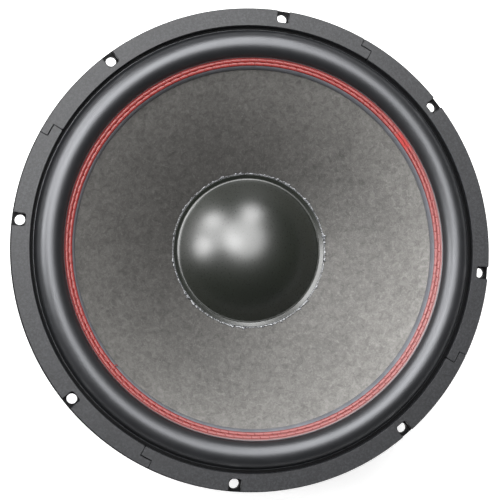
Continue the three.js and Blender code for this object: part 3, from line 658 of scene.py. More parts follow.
COAT = powder_coat()
# Painted shade: a near-black, dull material for the flange face inside the gasket's notches and for the walls
# of the flange's holes, where shade falls.
SHADED_FLANGE_FACE = rubber("painted_shade_flange_face", (0.0020, 0.0020, 0.0022), (0.0035, 0.0035, 0.0040), 0.6, 0.12)
BOARD = gasket_board()
RUBBER_DARK, RUBBER_LIGHT, COOL = (0.0052, 0.0056, 0.0064), (0.0080, 0.0085, 0.0098), (0.94, 0.955, 1.0)
RUBBER = rubber("surround_rubber", RUBBER_DARK, RUBBER_LIGHT, 0.41, 1.0, COOL, 1.56)
# Painted shade: a darker, duller copy of the surround rubber for the narrow gutter between the roll's foot and
# the gasket, where shade falls.
SHADED_GUTTER = rubber("gutter_rubber_painted_shade", (0.0025, 0.0026, 0.0030), (0.0040, 0.0042, 0.0047), 0.7, 0.12)
# Painted light: the lip is a light grey copy of the black surround rubber, standing in for the light its
# inward face catches.
LIT_LIP = rubber("lip_rubber_painted_light", (0.13, 0.135, 0.155), (0.165, 0.17, 0.19), 0.45, 0.9)
SEWN = rubber("red_sewn_rubber", (0.100, 0.005, 0.005), (0.15, 0.008, 0.007), 0.32, 0.7)
THREAD = thread()
PAPER = cone_paper()
CAP = gloss_cap()
GLUE = clear_glue()
DARK_GLUE = dark_glue()
CLOTH = spider_cloth()
STEEL = turned_metal("zinc_plated_steel", (0.055, 0.056, 0.060), 0.38, metallic=0.9)
SHORTING = turned_metal("turned_aluminium", (0.72, 0.73, 0.75), 0.3)
FORMER = turned_metal("anodised_former", (0.020, 0.019, 0.018), 0.35, metallic=0.5)
COPPER = wound_copper()
FERRITE = ferrite()
BOOT = moulded("boot_rubber", (0.014, 0.014, 0.015), 0.55, 0.3, 1500.0)
SPACER = moulded("spacer_plastic", (0.016, 0.016, 0.018), 0.5)
PLASTIC = moulded("terminal_plastic", (0.012, 0.012, 0.013), 0.36, 0.2)
SCREW = moulded("blackened_screw", (0.030, 0.030, 0.033), 0.3, 0.15, 1800.0, metallic=0.85)
RED = moulded("red_button_plastic", (0.52, 0.014, 0.012), 0.22, 0.12)
BLACK = moulded("black_button_plastic", (0.010, 0.010, 0.011), 0.22, 0.12)
NICKEL = moulded("nickel_plate", (0.62, 0.60, 0.56), 0.2, 0.1, 1500.0, 0.08, metallic=1.0)
TINSEL = braided_tinsel()
SCREEN = perforated_screen()
SOLDER = moulded("solder", (0.55, 0.55, 0.56), 0.28, 0.3, 900.0, 0.1, metallic=1.0)

FRONT_Z = 190.0
GASKET_Z = 185.0
FLANGE_R, RECESS_R = 196.2, 183.3
GASKET_R, GASKET_INNER_R, GASKET_STEP_R = 195.0, 180.7, 188.7
NOTCH_HALF, NOTCH_FLOOR_R, NOTCH_CORNER = 5.0, 185.2, 2.4
LAP, SLIT_HALF = 1.5, 0.03  # a joint's lap in degrees, and half the gap between two segments
NICK_HALF, NICK_DEPTH = 0.55, 1.4  # the joint opens into a nick at the gasket's inner edge
SEAT_Z, CUP_BORE_R, CUP_TOP = 95.7, 97.3, 113.0  # the cup that carries the spiders
CONE_SLOPE = (180.0 - 138.2) / (146.6 - 65.6)


def cone_z(r):
    return 180.0 + (r - 146.6) * CONE_SLOPE


def section(inner, outer, low, high, inside, outside):
    """The square section of a ring, with one corner radius inside and one outside."""
    return [(inner, low, inside), (outer, low, outside), (outer, high, outside), (inner, high, inside)]


def turned_points(points, degrees):
    c, s = math.cos(math.radians(degrees)), math.sin(math.radians(degrees))
    return [(x * c - y * s, x * s + y * c) for x, y in points]


def circle_points(r, start, end, count):
    angles = np.radians(np.linspace(start, end, count + 1))
    return [(r * math.cos(a), r * math.sin(a)) for a in angles]


# ---- gasket ----
def gasket_segment(index):
    """A quarter of the gasket with two notches. Its ends are stepped laps."""
    start = 45.0 + 90 * index
    end = start + 90
    slit = math.degrees(SLIT_HALF / GASKET_STEP_R)
    nick = math.degrees(NICK_HALF / GASKET_INNER_R)
    half = math.degrees(math.asin(NOTCH_HALF / GASKET_R))
    edge = math.sqrt(GASKET_R**2 - NOTCH_HALF**2)
    floor = [(NOTCH_FLOOR_R, side * NOTCH_HALF, NOTCH_CORNER) for side in (-1, 1)]
    notch = rounded([(edge, -NOTCH_HALF), *floor, (edge, NOTCH_HALF)], 6)
    holes = [start + 22.5, start + 67.5]
    low, high = start - LAP + slit, end - LAP - slit
    outline = [
        *circle_points(GASKET_STEP_R - 0.2, low, start + LAP + slit, 2),
        *circle_points(GASKET_R, start + LAP + slit, holes[0] - half, 22)[:-1],
        *turned_points(notch, holes[0]),
        *circle_points(GASKET_R, holes[0] + half, holes[1] - half, 46)[1:-1],
        *turned_points(notch, holes[1]),
        *circle_points(GASKET_R, holes[1] + half, end + LAP - slit, 22)[1:],
        *circle_points(GASKET_STEP_R + 0.2, end + LAP - slit, high, 2),
        *circle_points(GASKET_INNER_R + NICK_DEPTH, high, high, 0),
        *circle_points(GASKET_INNER_R, end - LAP - nick, start - LAP + nick, 90),
        *circle_points(GASKET_INNER_R + NICK_DEPTH, low, low, 0),
    ]
    made = extruded(f"gasket_board_{index + 1}", outline, GASKET_Z, FRONT_Z, BOARD, 0.35)
    return settle(weighted(made), "frame", "gasket_fibre", f"gasket_segment_{index + 1}")


for i in range(4):
    gasket_segment(i)


# ---- basket ----
def curved_bar(name, near, far, width):
    """A curved bar in the XZ plane between two quadratic curves, given a width along Y."""
    count, half = 26, width / 2
    t = np.linspace(0, 1, count)[:, None]

    def curve(corners):
        a, b, c = (np.array(p, float) for p in corners)
        return (1 - t) ** 2 * a + 2 * t * (1 - t) * b + t**2 * c

    vertices = []
    for p, q in zip(curve(near), curve(far)):
        vertices += [(p[0], -half, p[1]), (p[0], half, p[1]), (q[0], half, q[1]), (q[0], -half, q[1])]
    return outward(new_object(name, vertices, grid_faces(0, count, 4), COAT))


def basket_casting():
    """The skirt, the spokes and the cup as one casting whose corners are filled by a remesh."""
    skirt = [(169.5, 158.0), (174.0, 158.0), (175.4, 178.6), (171.4, 178.6)]
    base = [(62, 63.2), (92, 63.2), (92, 66.2)]
    wall = [(101.5, 90.7), (101.5, CUP_TOP), (CUP_BORE_R, CUP_TOP), (CUP_BORE_R, SEAT_Z)]
    seat = [(87, SEAT_Z), (87, 91.7), (95.5, 91.7), (88, 71.2), (62, 71.2)]
    parts = [lathe("skirt", skirt, COAT), lathe("cup", [*base, *wall, *seat], COAT)]
    plate = [(99.6, 107.5), (149, 112.5), (173.4, 162)], [(98.5, 112.5), (147, 118), (170.9, 166.6)], 18.0
    rib = [(100.3, 97), (152, 100), (173.2, 159.5)], [(99.6, 111), (149, 117), (171.4, 164)], 7.0
    for angle in HOLE_ANGLES:
        parts += [place(curved_bar("plate", *plate), angle), place(curved_bar("rib", *rib), angle)]
    for angle in (0, 180):
        parts.append(place(box_piece("pad", (93, -30, 92.7), (104, 30, 112.5), COAT, 1.2), angle))
    casting = joined("basket_casting", parts)
    remesh = casting.modifiers.new("remesh", "REMESH")
    remesh.mode = "VOXEL"
    remesh.voxel_size = 1.15 * MM
    remesh.adaptivity = 0
    apply_all(casting)
    drilled(casting, [(0, SEAT_Z), (CUP_BORE_R, SEAT_Z), (CUP_BORE_R, 116), (0, 116)], MEDIUM)
    for n in range(8):
        vent = box_piece("vent", (79.5, -13, 76.45), (105.5, 13, 87.45), COAT, 2.0)
        boolean(casting, place(vent, 45 * n))
    for angle in HOLE_ANGLES:
        drilled(casting, [(0, 60), (3.4, 60), (3.4, 74), (0, 74)], 32, angle, (BOLT_CIRCLE_R, 0, 0))
    relax = casting.modifiers.new("relax", "SMOOTH")
    relax.factor = 0.5
    relax.iterations = 5
    apply_all(casting)
    casting.data.materials.clear()
    casting.data.materials.append(COAT)
    casting.data.shade_smooth()
    return settle(casting, "frame", "cast_frame", "basket")


def basket_flange():
    below = [(171.45, 177.5), (175.3, 177.5, 0.3), (175.5, 179.7, 0.8), (FLANGE_R, 179.7, 0.9)]
    above = [(FLANGE_R, 184.7, 0.35), (RECESS_R, 184.7, 0.3), (RECESS_R, 183.2, 0.2), (171.5, 183.2, 0.5)]
    flange = lathe("basket_flange", rounded([*below, *above], 3), COAT, FINE)
    hole = [(4.4, 178), (4.4, 179.6), (4.1, 179.9), (4.1, 184.5), (4.3, 184.75), (4.3, 186)]
    for angle in HOLE_ANGLES:
        drilled(flange, [(0, 178), *hole, (0, 186)], 40, angle, (HOLE_CIRCLE_R, 0, 0))
    sharpen(flange, 40)
    # Painted shade on the flange face under the gasket and in the bolt holes.
    paint(flange, SHADED_FLANGE_FACE, RECESS_R, FLANGE_R - 0.3, 184.0)
    paint(flange, SHADED_FLANGE_FACE, HOLE_CIRCLE_R - 4.5, HOLE_CIRCLE_R + 4.5, 179.8)
    return settle(weighted(flange), "frame", "cast_frame")


basket_casting()
basket_flange()

# ---- surround ----
ROLL_R, ROLL_Z, ROLL_HALF, ROLL_HIGH, RUBBER_THICK = 166.0, 184.7, 11.5, 11.3, 1.2
BAND_INNER = (148.7, 186.3)
BAND_OUTER = (155.0, 188.05)
FOOT_FILLET_R = 177.55


def surround():
    """The half roll, its foot under the gasket, the sewn band and the lip towards the cone."""
    start = math.degrees(math.asin((BAND_OUTER[1] - ROLL_Z) / ROLL_HIGH))
    top = arc(ROLL_R, ROLL_Z, ROLL_HALF, ROLL_HIGH, 6, 180 - start, 40)
    inner_half, inner_high = ROLL_HALF - RUBBER_THICK, ROLL_HIGH - RUBBER_THICK
    under = arc(ROLL_R, ROLL_Z, inner_half, inner_high, 176, 2, 30)
    corners = (BAND_INNER, (146.95, 184.6), (146.55, 180.7))
    lip = []
    for t in np.linspace(0, 1, 12):
        weights = ((1 - t) ** 2, 2 * t * (1 - t), t**2)
        lip.append(tuple(sum(w * c[k] for w, c in zip(weights, corners)) for k in (0, 1)))
    foot = [(ROLL_R + inner_half + 0.1, 183.5), (183.0, 183.5, 0.3), (183.0, ROLL_Z, 0.3), (180.0, ROLL_Z)]
    outline = [
        *rounded(foot, 3),
        *arc(FOOT_FILLET_R + 1.0, 185.75, 1.05, 1.05, 270, 185, 9),
        *top,
        *arc(BAND_OUTER[0] - 0.62, BAND_OUTER[1] + 0.62, 0.75, 0.75, -20, -74, 5),
        *lip,
        (146.75, 180.45),
        *[(r, cone_z(r) + 0.35) for r in (147.2, 153.9)],
        *under,
    ]
    made = lathe("surround_roll", outline, RUBBER, FINE)
    # Painted shade in the gutter at the roll's foot.
    paint(made, SHADED_GUTTER, FOOT_FILLET_R + 0.95, 190.0)
    paint(made, SEWN, BAND_INNER[0] - 0.2, BAND_OUTER[0] - 1.1, 185.5)
    # Painted light on the lip towards the cone.
    paint(made, LIT_LIP, 145.0, BAND_INNER[0] - 0.2, 181.0)
    return radial_blend(made, "surround")


surround()


# ---- stitching ----
BAND_SLOPE = (BAND_OUTER[1] - BAND_INNER[1]) / (BAND_OUTER[0] - BAND_INNER[0])
STITCH = (1.05, 0.38, 0.09)  # half width, height over the band, slant
STITCH_REACH = 0.515  # half a stitch's length as a share of the pitch, so that neighbours just overlap
THREAD_HALF_THICK = 0.20


def band_z(r):
    share = (r - BAND_INNER[0]) / (BAND_OUTER[0] - BAND_INNER[0])
    return BAND_INNER[1] + share * (BAND_OUTER[1] - BAND_INNER[1])


def stitch_row(name, node, rows):
    """Separate stitches round the band. A row is (radius, phase, half width, height, slant)."""
    rng = random.Random(len(node))
    vertices, faces = [], []
    sides, steps = 12, 17
    for r, phase, half, lift, slant in rows:
        for n in range(STITCH_COUNT):
            centre = (n + phase) * STITCH_PITCH + rng.uniform(-0.04, 0.04)
            lean = slant * rng.uniform(0.85, 1.15)
            thick = half * rng.uniform(0.95, 1.05)
            base = len(vertices)
            for i in range(steps):
                t = i / (steps - 1) * 2 - 1
                angle = math.radians(centre + t * STITCH_PITCH * STITCH_REACH)
                middle = r + lean * t
                full = 0.9 + 0.1 * max(0.0, 1 - abs(t) ** 7) ** 0.5
                centre_z = band_z(middle) + lift * full - 0.03 * abs(t) ** 12
                for k in range(sides):
                    a = math.tau * k / sides
                    ply = 1 + 0.06 * math.cos(2 * a + t * 9)
                    across = thick * full * ply * math.cos(a)
                    over = THREAD_HALF_THICK * full * ply * math.sin(a)
                    rr = middle + across
                    zz = centre_z + over + BAND_SLOPE * across
                    vertices.append(around(rr, angle, zz))
            faces += grid_faces(base, steps, sides)
    row = outward(new_object(name, vertices, faces, THREAD))
    return settle(row, CONE, "stitch_thread", node)


def loose_end():
    """A short free end of thread where the stitching was finished."""
    angle = math.radians(202.5)
    path = []
    for t in np.linspace(0, 1, 24):
        r = 149.6 - 2.6 * t + 0.5 * math.sin(5 * t)
        a = angle + 0.014 * t + 0.004 * math.sin(7 * t)
        z = band_z(max(r, 148.6)) + 0.55 + 0.3 * math.sin(3 * t) - (0.9 * max(0, t - 0.45))
        path.append(around(r, a, z))
    made = tube("thread_end", path, 0.3, THREAD, 10, twist=3.0)
    return settle(made, CONE, "stitch_thread")


LOCK_STITCHES = (151.0, 0.5, 0.4, 0.0, 0.6)  # low, slanting threads between the two rows
stitch_row("stitches_outer", "stitch_thread_outer", [(OUTER_ROW_R, 0.0, *STITCH)])
stitch_row("stitches_inner", "stitch_thread_inner", [(INNER_ROW_R, INNER_PHASE, *STITCH), LOCK_STITCHES])
loose_end()


# ---- cone ----
NECK_R = 38.95  # what sits on the coil former starts here


def cone():
    """The paper cone, pressed a little unevenly."""
    under = 2.0 * math.hypot(1, CONE_SLOPE)
    face = [(r, cone_z(r)) for r in np.linspace(153.4, 40.0, 60)]
    back = [(r, cone_z(r) - under) for r in np.linspace(44.0, 153.0, 60)]
    foot = cone_z(38.9) - 3
    neck = [(NECK_R, cone_z(NECK_R) - 0.3), (NECK_R, foot), (40.9, foot), (42.0, cone_z(42.0) - under - 0.6)]

    def uneven(r, z, angle):
        lift = noise.noise(Vector(around(r * 0.03, angle, 3.1)))
        return 0, 0.22 * lift if 70 < r < 145 else 0

    made = lathe("cone_body", [*face, *neck, *back], PAPER, FINE, wobble=uneven)
    sharpen(made, 40)
    return settle(made, CONE, "cone_paper", "cone")


cone()

# ---- dust cap and its adhesive ----
CAP_R, CAP_RIM_R, CAP_HIGH, CAP_LIFT = 61.0, 65.3, 24.0, 0.4


def dust_cap():
    """A dome as part of a sphere, with a narrow flange that sits on the cone."""
    foot_z = cone_z(CAP_R) + CAP_LIFT + 1.0
    sphere = (CAP_R**2 + CAP_HIGH**2) / (2 * CAP_HIGH)
    centre = foot_z + CAP_HIGH - sphere
    edge = math.degrees(math.asin(CAP_R / sphere))
    dome = arc(0, centre, sphere, sphere, 90, 90 - edge, 48)
    dome[0] = (0, dome[0][1])
    inside = arc(0, centre, sphere - 1, sphere - 1, 90 - edge, 90, 24)
    inside[-1] = (0, inside[-1][1])
    rim_z = cone_z(CAP_RIM_R) + CAP_LIFT
    flange = rounded(
        [
            (CAP_R - 0.1, foot_z + 0.55, 0.1),
            (CAP_R + 0.75, foot_z + 0.45, 0.7),
            (CAP_R + 0.95, foot_z - 0.1, 0.4),
            (CAP_RIM_R, rim_z + 0.75, 0.4),
            (CAP_RIM_R, rim_z, 0.2),
            (CAP_R, cone_z(CAP_R) + CAP_LIFT, 0.1),
        ]
    )
    made = lathe("dust_cap_dome", [*dome[:-1], *flange, *inside], CAP, FINE)
    sharpen(made, 50)
    return settle(made, CONE, "dust_cap_plastic", "dust_cap")


def glue_bead():
    """A bead of adhesive round the cap: a slow and a fast wave in its thickness, and lumps."""
    rng = random.Random(7)
    steps, sides = 720, 12
    lumps = []
    for _ in range(150):
        lumps.append((rng.uniform(0, math.tau), rng.uniform(0.006, 0.03), rng.uniform(0.25, 0.9)))

    def wave(angle, scale, seed):
        return noise.noise(Vector(around(scale, angle, seed)))

    vertices, faces = [], []
    for j in range(steps):
        angle = math.tau * j / steps
        size = 0.42 + 0.22 * wave(angle, 9, 0.4)
        size += 0.16 * wave(angle, 40, 1.4)
        for where, wide, high in lumps:
            off = abs((angle - where + math.pi) % math.tau - math.pi)
            if off < wide:
                size += high * (1 - (off / wide) ** 2) * 0.75
        size = max(0.22, size)
        middle = 65.75 + 0.35 * size + 0.25 * wave(angle, 22, 5.0)
        for k in range(sides):
            a = math.tau * k / sides
            rr = middle + size * 1.05 * math.cos(a)
            zz = cone_z(middle) + 0.35 + CONE_SLOPE * size * math.cos(a) + size * 0.85 * math.sin(a)
            vertices.append(around(rr, angle, zz))
    for j in range(steps):
        for k in range(sides):
            a, b = j * sides + k, j * sides + (k + 1) % sides
            c = (j + 1) % steps * sides
            faces.append((a, b, c + (k + 1) % sides, c + k))
    made = outward(new_object("cap_glue_bead", vertices, faces, GLUE))
    return settle(made, CONE, "clear_adhesive", "dust_cap_glue_bead")


dust_cap()
glue_bead()


# ---- voice coil, collar and spiders ----
def plain_ring(name, points, material, body, slot, node):
    made = lathe(name, rounded(points, 3), material)
    sharpen(made, 45)
    return settle(weighted(made), body, slot, node)


def winding(layer, inner):
    """One layer of the coil, with every turn of its wire standing out."""
    low, turns = 36, 45
    wire = []
    for n in range(turns):
        z = low + WIRE_PITCH * n
        wire += [(inner + 0.86, z + 0.04), (inner + 1.0, z + 0.4), (inner + 0.86, z + 0.76)]
    made = lathe(f"winding_{layer}", [(inner, low), *wire, (inner, 72)], COPPER, 96)
    return settle(made, CONE, "coil_copper", f"coil_winding_{layer}")


plain_ring("former_tube", section(38.1, 38.6, 30, 127, 0.1, 0.1), FORMER, CONE, "former_tube", "coil_former")
winding("inner", 38.9)
winding("outer", 40.2)
COLLAR = [(38.9, 114.1, 0.2), (40.6, 114.1, 0.8), (41.5, 117, 1.2), (41.4, 120.2, 0.8), (38.9, 121.1, 0.2)]
plain_ring("neck_glue", COLLAR, DARK_GLUE, CONE, "black_adhesive", "neck_collar")


def spider(name, low, node):
    """A disc of cloth with seven waves that fade towards both of its flat edges."""
    waves, inner, outer, high, thick = 7, 46.0, 86.0, 2.3, 0.8
    r = np.linspace(inner, outer, 140)
    share = (r - inner) / (outer - inner)
    fade = np.clip(np.minimum(share, 1 - share) * 9, 0, 1)
    z = low + high * fade * np.sin(share * waves * 2 * math.pi)
    lower = [(NECK_R, low), (44.0, low), *zip(r, z), (88.0, low), (94.9, low)]
    upper = [(a, b + thick) for a, b in reversed(lower)]
    made = lathe(name, [*lower, *upper], CLOTH, FINE)
    return radial_blend(made, node)


spider("spider_cloth_lower", 96.0, "spider_lower")
spider("spider_cloth_upper", 106.4, "spider_upper")
SPACER_RING = section(88.5, 95, 97.1, 106.1, 0.4, 0.4)
plain_ring("spider_spacer_ring", SPACER_RING, SPACER, "frame", "spacer_plastic", "spider_spacer")

# ---- motor ----
MAGNET_R, YOKE_R, POLE_R = 90.5, 92, 37.6
YOKE_PLATE = [(18, 0, 0.6), (90.6, 0, 1.2), (YOKE_R, 1.5, 1.2), (YOKE_R, 12, 0.5), (POLE_R, 12, 0.5)]
YOKE_POLE = [(POLE_R, 64, 0.8), (17, 64, 0.8), (14, 58, 2), (14, 6, 2)]
SHORTING_RING = section(42.6, 49.7, 12.3, 22.3, 0.4, 0.4)
plain_ring("yoke_turned", [*YOKE_PLATE, *YOKE_POLE], STEEL, "frame", "motor_steel", "yoke")
for name, low in (("lower", 12.3), ("upper", 32.6)):
    magnet = section(50, MAGNET_R, low, low + 20, 0.8, 1.2)
    plain_ring(f"ferrite_{name}", magnet, FERRITE, "frame", "ferrite", f"magnet_{name}")
plain_ring("shorting_turned", SHORTING_RING, SHORTING, "frame", "shorting_aluminium", "shorting_ring")


def top_plate():
    """The plate over the magnet, with eight blind holes for the basket's bolts."""
    made = lathe("plate_turned", rounded(section(42, MAGNET_R, 52.9, 62.9, 0.5, 0.5), 3), STEEL)
    for angle in HOLE_ANGLES:
        drilled(made, [(0, 54.6), (3.4, 54.6), (3.4, 64), (0, 64)], 24, angle, (BOLT_CIRCLE_R, 0, 0))
    sharpen(made, 40)
    return settle(weighted(made), "frame", "motor_steel", "top_plate")


top_plate()


def boot():
    """The magnet's rubber boot, with four grooves moulded round it."""
    inner, outer, groove = 92.4, 98, 97.1
    outline = [(inner, 2, 0.4), (96.5, 2, 0.8), (outer, 4, 0.9)]
    for z in (14.0, 18.0, 46.0, 50.0):
        steps = ((outer, -1.0), (groove, -0.4), (groove, 0.4), (outer, 1.0))
        outline += [(r, z + dz, 0.3) for r, dz in steps]
    outline += [(outer, 59.9, 1.0), (95.5, 62.9, 1.0), (inner, 62.9, 0.4)]
    made = lathe("boot_moulded", rounded(outline, 3), BOOT, FINE)
    return settle(weighted(made), "frame", "boot_rubber", "magnet_boot")


boot()


def vent_screen():
    outline = [(0, 8.0), (12.9, 8.0, 0.3), (13.7, 8.2, 0.2), (13.7, 9.2, 0.2), (12.9, 9.2, 0.3), (0, 8.8)]
    made = lathe("vent_mesh", rounded(outline, 3), SCREEN, 64)
    return settle(made, "frame", "screen_metal", "vent_screen")


vent_screen()


# ---- fasteners ----
def fastener(name, head_outline, drives, shank_outline):
    """A screw whose drive is cut into its head by each of some pieces."""
    head = lathe("head", head_outline, SCREW, 40)
    for drive in drives:
        boolean(head, drive)
    sharpen(head, 35)
    return joined(name, [head, lathe("shank", shank_outline, SCREW, 24)])


def cap_bolt(index, angle):
    head = [(0, 71.5), (4.9, 71.5, 0.2), (5.0, 71.7, 0.1), (5.0, 75.7, 0.7), (4.2, 76.5, 0.5), (0, 76.5)]
    shank = [(0, 55.0), (2.5, 55.0), (3.0, 55.6), (3.0, 71.5), (0, 71.5)]
    hexagon = [around(2.6, math.radians(60 * k), 0)[:2] for k in range(6)]
    socket = extruded("socket", hexagon, 73.7, 78, SCREW)
    made = fastener(f"cap_bolt_{index + 1}", rounded(head), [socket], shank)
    place(made, angle, (BOLT_CIRCLE_R, 0, 0))
    return settle(made, "frame", "black_screw", f"basket_bolt_{index + 1}")


for i, angle in enumerate(HOLE_ANGLES):
    cap_bolt(i, angle)


# ---- terminals ----
BARREL_X, BARREL_Y = 117.3, 12.5
SCREW_Y, SCREW_Z = 25, 102


def terminal_housing(side, turn):
    """A block with ears on the basket's pad, two barrels with their bores and wire holes, and dishes."""
    body = box_piece("body", (104.3, -21.5, 95), (126.3, 21.5, 110), PLASTIC, 1.4, 4)
    ears = box_piece("ears", (104.3, -29.5, 96), (108.3, 29.5, 109), PLASTIC, 1.0, 3)
    boolean(body, ears, "UNION")
    barrel_outline = rounded([(0, 85), (7.6, 85, 0.8), (7.6, 97), (0, 97)])
    bore = [(0, 84), (6.0, 84), (5.4, 85.6), (5.4, 106), (0, 106)]
    wire_hole = [(0, -12), (1.9, -12), (1.9, 12), (0, 12)]
    screw_hole = [(0, -6), (1.8, -6), (1.8, 6), (0, 6)]
    for y in (-BARREL_Y, BARREL_Y):
        barrel = lathe("barrel", barrel_outline, PLASTIC, 56)
        boolean(body, place(barrel, 0, (BARREL_X, y, 0)), "UNION")
    for y in (-BARREL_Y, BARREL_Y):
        drilled(body, bore, 48, 0, (BARREL_X, y, 0))
        drilled(body, wire_hole, 24, 0, (BARREL_X + 6, y, 90), along_x=True)
        drilled(body, screw_hole, 24, 0, (106.3, math.copysign(SCREW_Y, y), SCREW_Z), along_x=True)
        dish = box_piece("dish", (125.9, y - 6.5, 97.5), (127.5, y + 6.5, 107.5), PLASTIC, 0.3, 2)
        boolean(body, dish)
    sharpen(body, 35)
    body.name = f"housing_{side}"
    place(body, turn)
    return settle(body, "frame", "terminal_plastic", f"terminal_housing_{side}")


def push_button(side, pole, y, turn):
    """A round button with a knurled rim and a dished thumb face, on its stem."""
    rim, top = 7.6, 80.7

    def knurl(r, z, angle):
        if r > rim - 0.3 and 75.9 < z < top - 0.5:
            return -0.22 * (0.5 + 0.5 * math.cos(36 * angle)), 0
        return 0, 0

    edge = [(5.0, 74.7), (6.3, 74.7, 0.6), (rim, 76.0, 0.6), (rim, top, 0.4)]
    stem = [(2.0, top, 0.2), (2.0, 101, 0.3), (0, 101)]
    outline = [(0, 75.3), (3.2, 75.1), (4.6, 74.8), *rounded([*edge, *stem])]
    steps = []
    for a, b in zip(outline, outline[1:]):
        steps.append(a)
        if abs(a[0] - rim) < 0.05 and abs(b[0] - rim) < 0.05 and abs(a[1] - b[1]) > 1:
            steps += [(rim, a[1] + (b[1] - a[1]) * t) for t in (0.08, 0.5, 0.92)]
    steps.append(outline[-1])
    made = lathe(f"button_{side}_{pole}", steps, RED if pole == "red" else BLACK, 144, wobble=knurl)
    sharpen(made, 50)
    place(made, turn, (BARREL_X, y, 0))
    return settle(made, f"button_{side}_{pole}", f"button_{pole}", f"push_button_{side}_{pole}")


def button_spring(side, pole, y, turn):
    turns, count = 5.5, 240
    path = []
    for i in range(count):
        t = i / (count - 1)
        lift = np.clip((t * turns - 0.75) / (turns - 1.5), 0, 1)
        a = math.tau * turns * t
        path.append(around(3.7, a, 81.55 + lift * 23.6))
    made = tube(f"spring_{side}_{pole}", path, 0.45, NICKEL, 10)
    place(made, turn, (BARREL_X, y, 0))
    settle(made, "frame", "nickel_plate", f"button_spring_{side}_{pole}")
    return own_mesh(made)


def solder_tab(side, pole, y, turn):
    """A tinned tab with an eye, a pinched waist and a drop of solder round the lead."""
    side_points = [(2.5, 114.5, 0.6), (1.9, 115.5, 0.6), (1.9, 122.3, 1.6)]
    right = [(y + x, z, corner) for x, z, corner in side_points]
    left = [(y - x, z, corner) for x, z, corner in reversed(side_points)]
    outline = rounded([(y - 2.5, 110.3), (y + 2.5, 110.3), *right, *left], 5)
    made = extruded(f"tab_{side}_{pole}", outline, -0.45, 0.45, NICKEL, 0.15)
    made.data.transform(Matrix(((0, 0, 1, 109 * MM), (1, 0, 0, 0), (0, 1, 0, 0), (0, 0, 0, 1))))
    blob = bpy.data.meshes.new("blob")
    work = bmesh.new()
    bmesh.ops.create_icosphere(work, subdivisions=4, radius=1.0)
    for v in work.verts:
        lump = 1 + 0.18 * noise.noise(v.co * 2.3)
        v.co = Vector((v.co.x * 1.35, v.co.y * 1.75, v.co.z * 2.1)) * lump * MM
    work.to_mesh(blob)
    work.free()
    drop = place(linked("drop", blob, SOLDER), 0, (107.5, y, 120.0))
    whole = joined(f"tab_{side}_{pole}", [made, drop])
    place(whole, turn)
    return settle(whole, "frame", "nickel_plate", f"solder_tab_{side}_{pole}")


def pan_screw(side, pole, y, turn):
    head = [(0, 108.65), (2.8, 108.65, 0.2), (3.0, 109.2, 0.5), (2.4, 110.3, 0.9), (0, 110.6)]
    shank = [(0, 98), (1.1, 98.6), (1.5, 99.6), (1.5, 108.8), (0, 108.8)]
    cross = []
    for x, half in ((2.0, 0.35), (0.35, 2.0)):
        cross.append(box_piece("slot", (-x, -half, 109.8), (x, half, 111.5), SCREW, 0.05, 1))
    made = fastener(f"pan_screw_{side}_{pole}", rounded(head, 5), cross, shank)
    made.data.transform(TO_X)
    place(made, turn, (0, math.copysign(SCREW_Y, y), SCREW_Z))
    return settle(made, "frame", "black_screw", f"terminal_screw_{side}_{pole}")


LEAD_START = [(106.4, 12.5, 120.5), (100, 12.4, 122.5), (92, 12.2, 121.5), (80, 11.8, 118)]
LEAD_END = [(68, 11.4, 114.5), (56, 10.8, 113.2), (47.5, 10.3, 115), (42.9, 10, 117.8)]


def tinsel_lead(side, pole, y, turn):
    """A braided lead from the solder tab to the neck collar."""
    path = smooth_path([(x, math.copysign(beside, y), z) for x, beside, z in (*LEAD_START, *LEAD_END)], 200)
    made = tube(f"tinsel_{side}_{pole}", path, 1.18, TINSEL, 18, twist=26.0)
    place(made, turn)
    return radial_blend(made, f"tinsel_lead_{side}_{pole}")


for side, turn in (("right", 0), ("left", 180)):
    terminal_housing(side, turn)
    for pole, y in (("red", BARREL_Y), ("black", -BARREL_Y)):
        for make in (push_button, button_spring, solder_tab, pan_screw, tinsel_lead):
            make(side, pole, y, turn)


# ---- floor, lights, camera ----
PHOTO_TURN = math.radians(-16.5)  # the object's frame is turned this far from the view's
FLOOR_HALF = 20000
LIGHT_DISTANCE = 1.6  # metres, from the point on the axis that the lamps look at
LIT_Z = 160


def in_row(vector):
    return Matrix.Rotation(PHOTO_TURN, 3, "Z") @ Vector(vector)


def studio_floor():
    """A pale floor that glows more with distance, so that it meets the white world without a seam."""
    n = Nodes("pale_floor")
    tint = n.ramp(n.noise(3.0, 3.0), [(0.3, 0.90), (0.7, 0.93)])
    radius = n.polar()[0]
    glow = n.ramp(n.times(radius, 1 / 3000), [(0.17, 0.5), (0.5, 1.0)])
    material = n.feed(Base_Color=tint, Roughness=0.9, Emission_Color=(1, 1, 1), Emission_Strength=glow)
    corners = [(x * FLOOR_HALF, y * FLOOR_HALF, -1) for x, y in ((-1, -1), (1, -1), (1, 1), (-1, 1))]
    new_object("floor", corners, [(0, 1, 2, 3)], material)


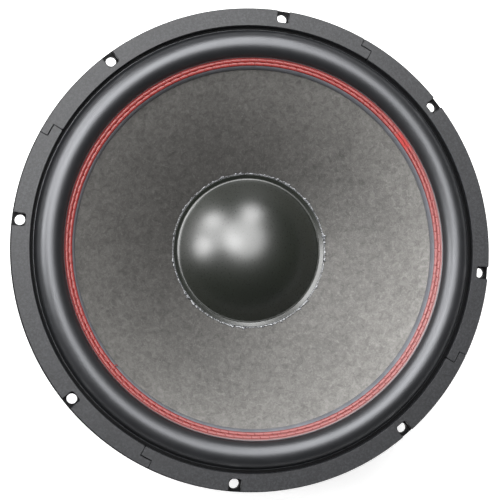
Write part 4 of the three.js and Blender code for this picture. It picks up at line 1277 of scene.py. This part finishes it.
def soft_light(name, azimuth, polar, size, power):
    """A round lamp that looks at the driver. Its size is in metres."""
    data = bpy.data.lights.new(name, "AREA")
    data.shape = "DISK"
    data.size = size
    data.energy = power
    light = bpy.data.objects.new(name, data)
    bpy.context.scene.collection.objects.link(light)
    a, p = math.radians(azimuth), math.radians(polar)
    toward = in_row(around(math.sin(p), a, math.cos(p)))
    light.location = Vector((0, 0, LIT_Z)) * MM + toward * LIGHT_DISTANCE
    light.rotation_mode = "QUATERNION"
    light.rotation_quaternion = toward.to_track_quat("Z", "Y")
    return light


def world():
    """A world that is white to the camera and dim as a light."""
    made = bpy.data.worlds.new("studio")
    bpy.context.scene.world = made
    made.use_nodes = True
    tree = made.node_tree
    back = tree.nodes["Background"]
    back.inputs["Color"].default_value = (1, 1, 1, 1)
    path = tree.nodes.new("ShaderNodeLightPath")
    level = tree.nodes.new("ShaderNodeMix")
    level.data_type = "FLOAT"
    level.inputs[2].default_value = 0.08
    level.inputs[3].default_value = 1.0
    tree.links.new(path.outputs["Is Camera Ray"], level.inputs[0])
    tree.links.new(level.outputs[0], back.inputs["Strength"])


def camera():
    data = bpy.data.cameras.new("camera")
    data.sensor_width = 36.0
    data.lens = 67.46
    data.clip_start = 0.01
    data.clip_end = 100.0
    made = bpy.data.objects.new("camera", data)
    bpy.context.scene.collection.objects.link(made)
    right, up, back = (0.98705, 0, 0.16040), (-0.00876, 0.99851, 0.05389), (-0.16016, -0.05460, 0.98558)
    matrix = Matrix([in_row(axis) for axis in (right, up, back)]).transposed().to_4x4()
    matrix.translation = (in_row((-128.5, -43.7, 741.7)) + Vector((0, 0, FRONT_Z))) * MM
    made.matrix_world = matrix
    bpy.context.scene.camera = made


studio_floor()
world()
soft_light("high_left", 134.0, 54.0, 0.5, 4.5)
soft_light("high_back", 79.0, 46.0, 0.55, 7.5)
soft_light("far_left", 173.5, 51.0, 0.55, 7)
soft_light("overhead", 142.0, 17.0, 0.5, 4)
soft_light("wide_top", 94.0, 16.0, 1.35, 26)
soft_light("wide_left", 148.0, 45.0, 1.2, 14)
camera()
bpy.context.scene.view_settings.view_transform = "Standard"
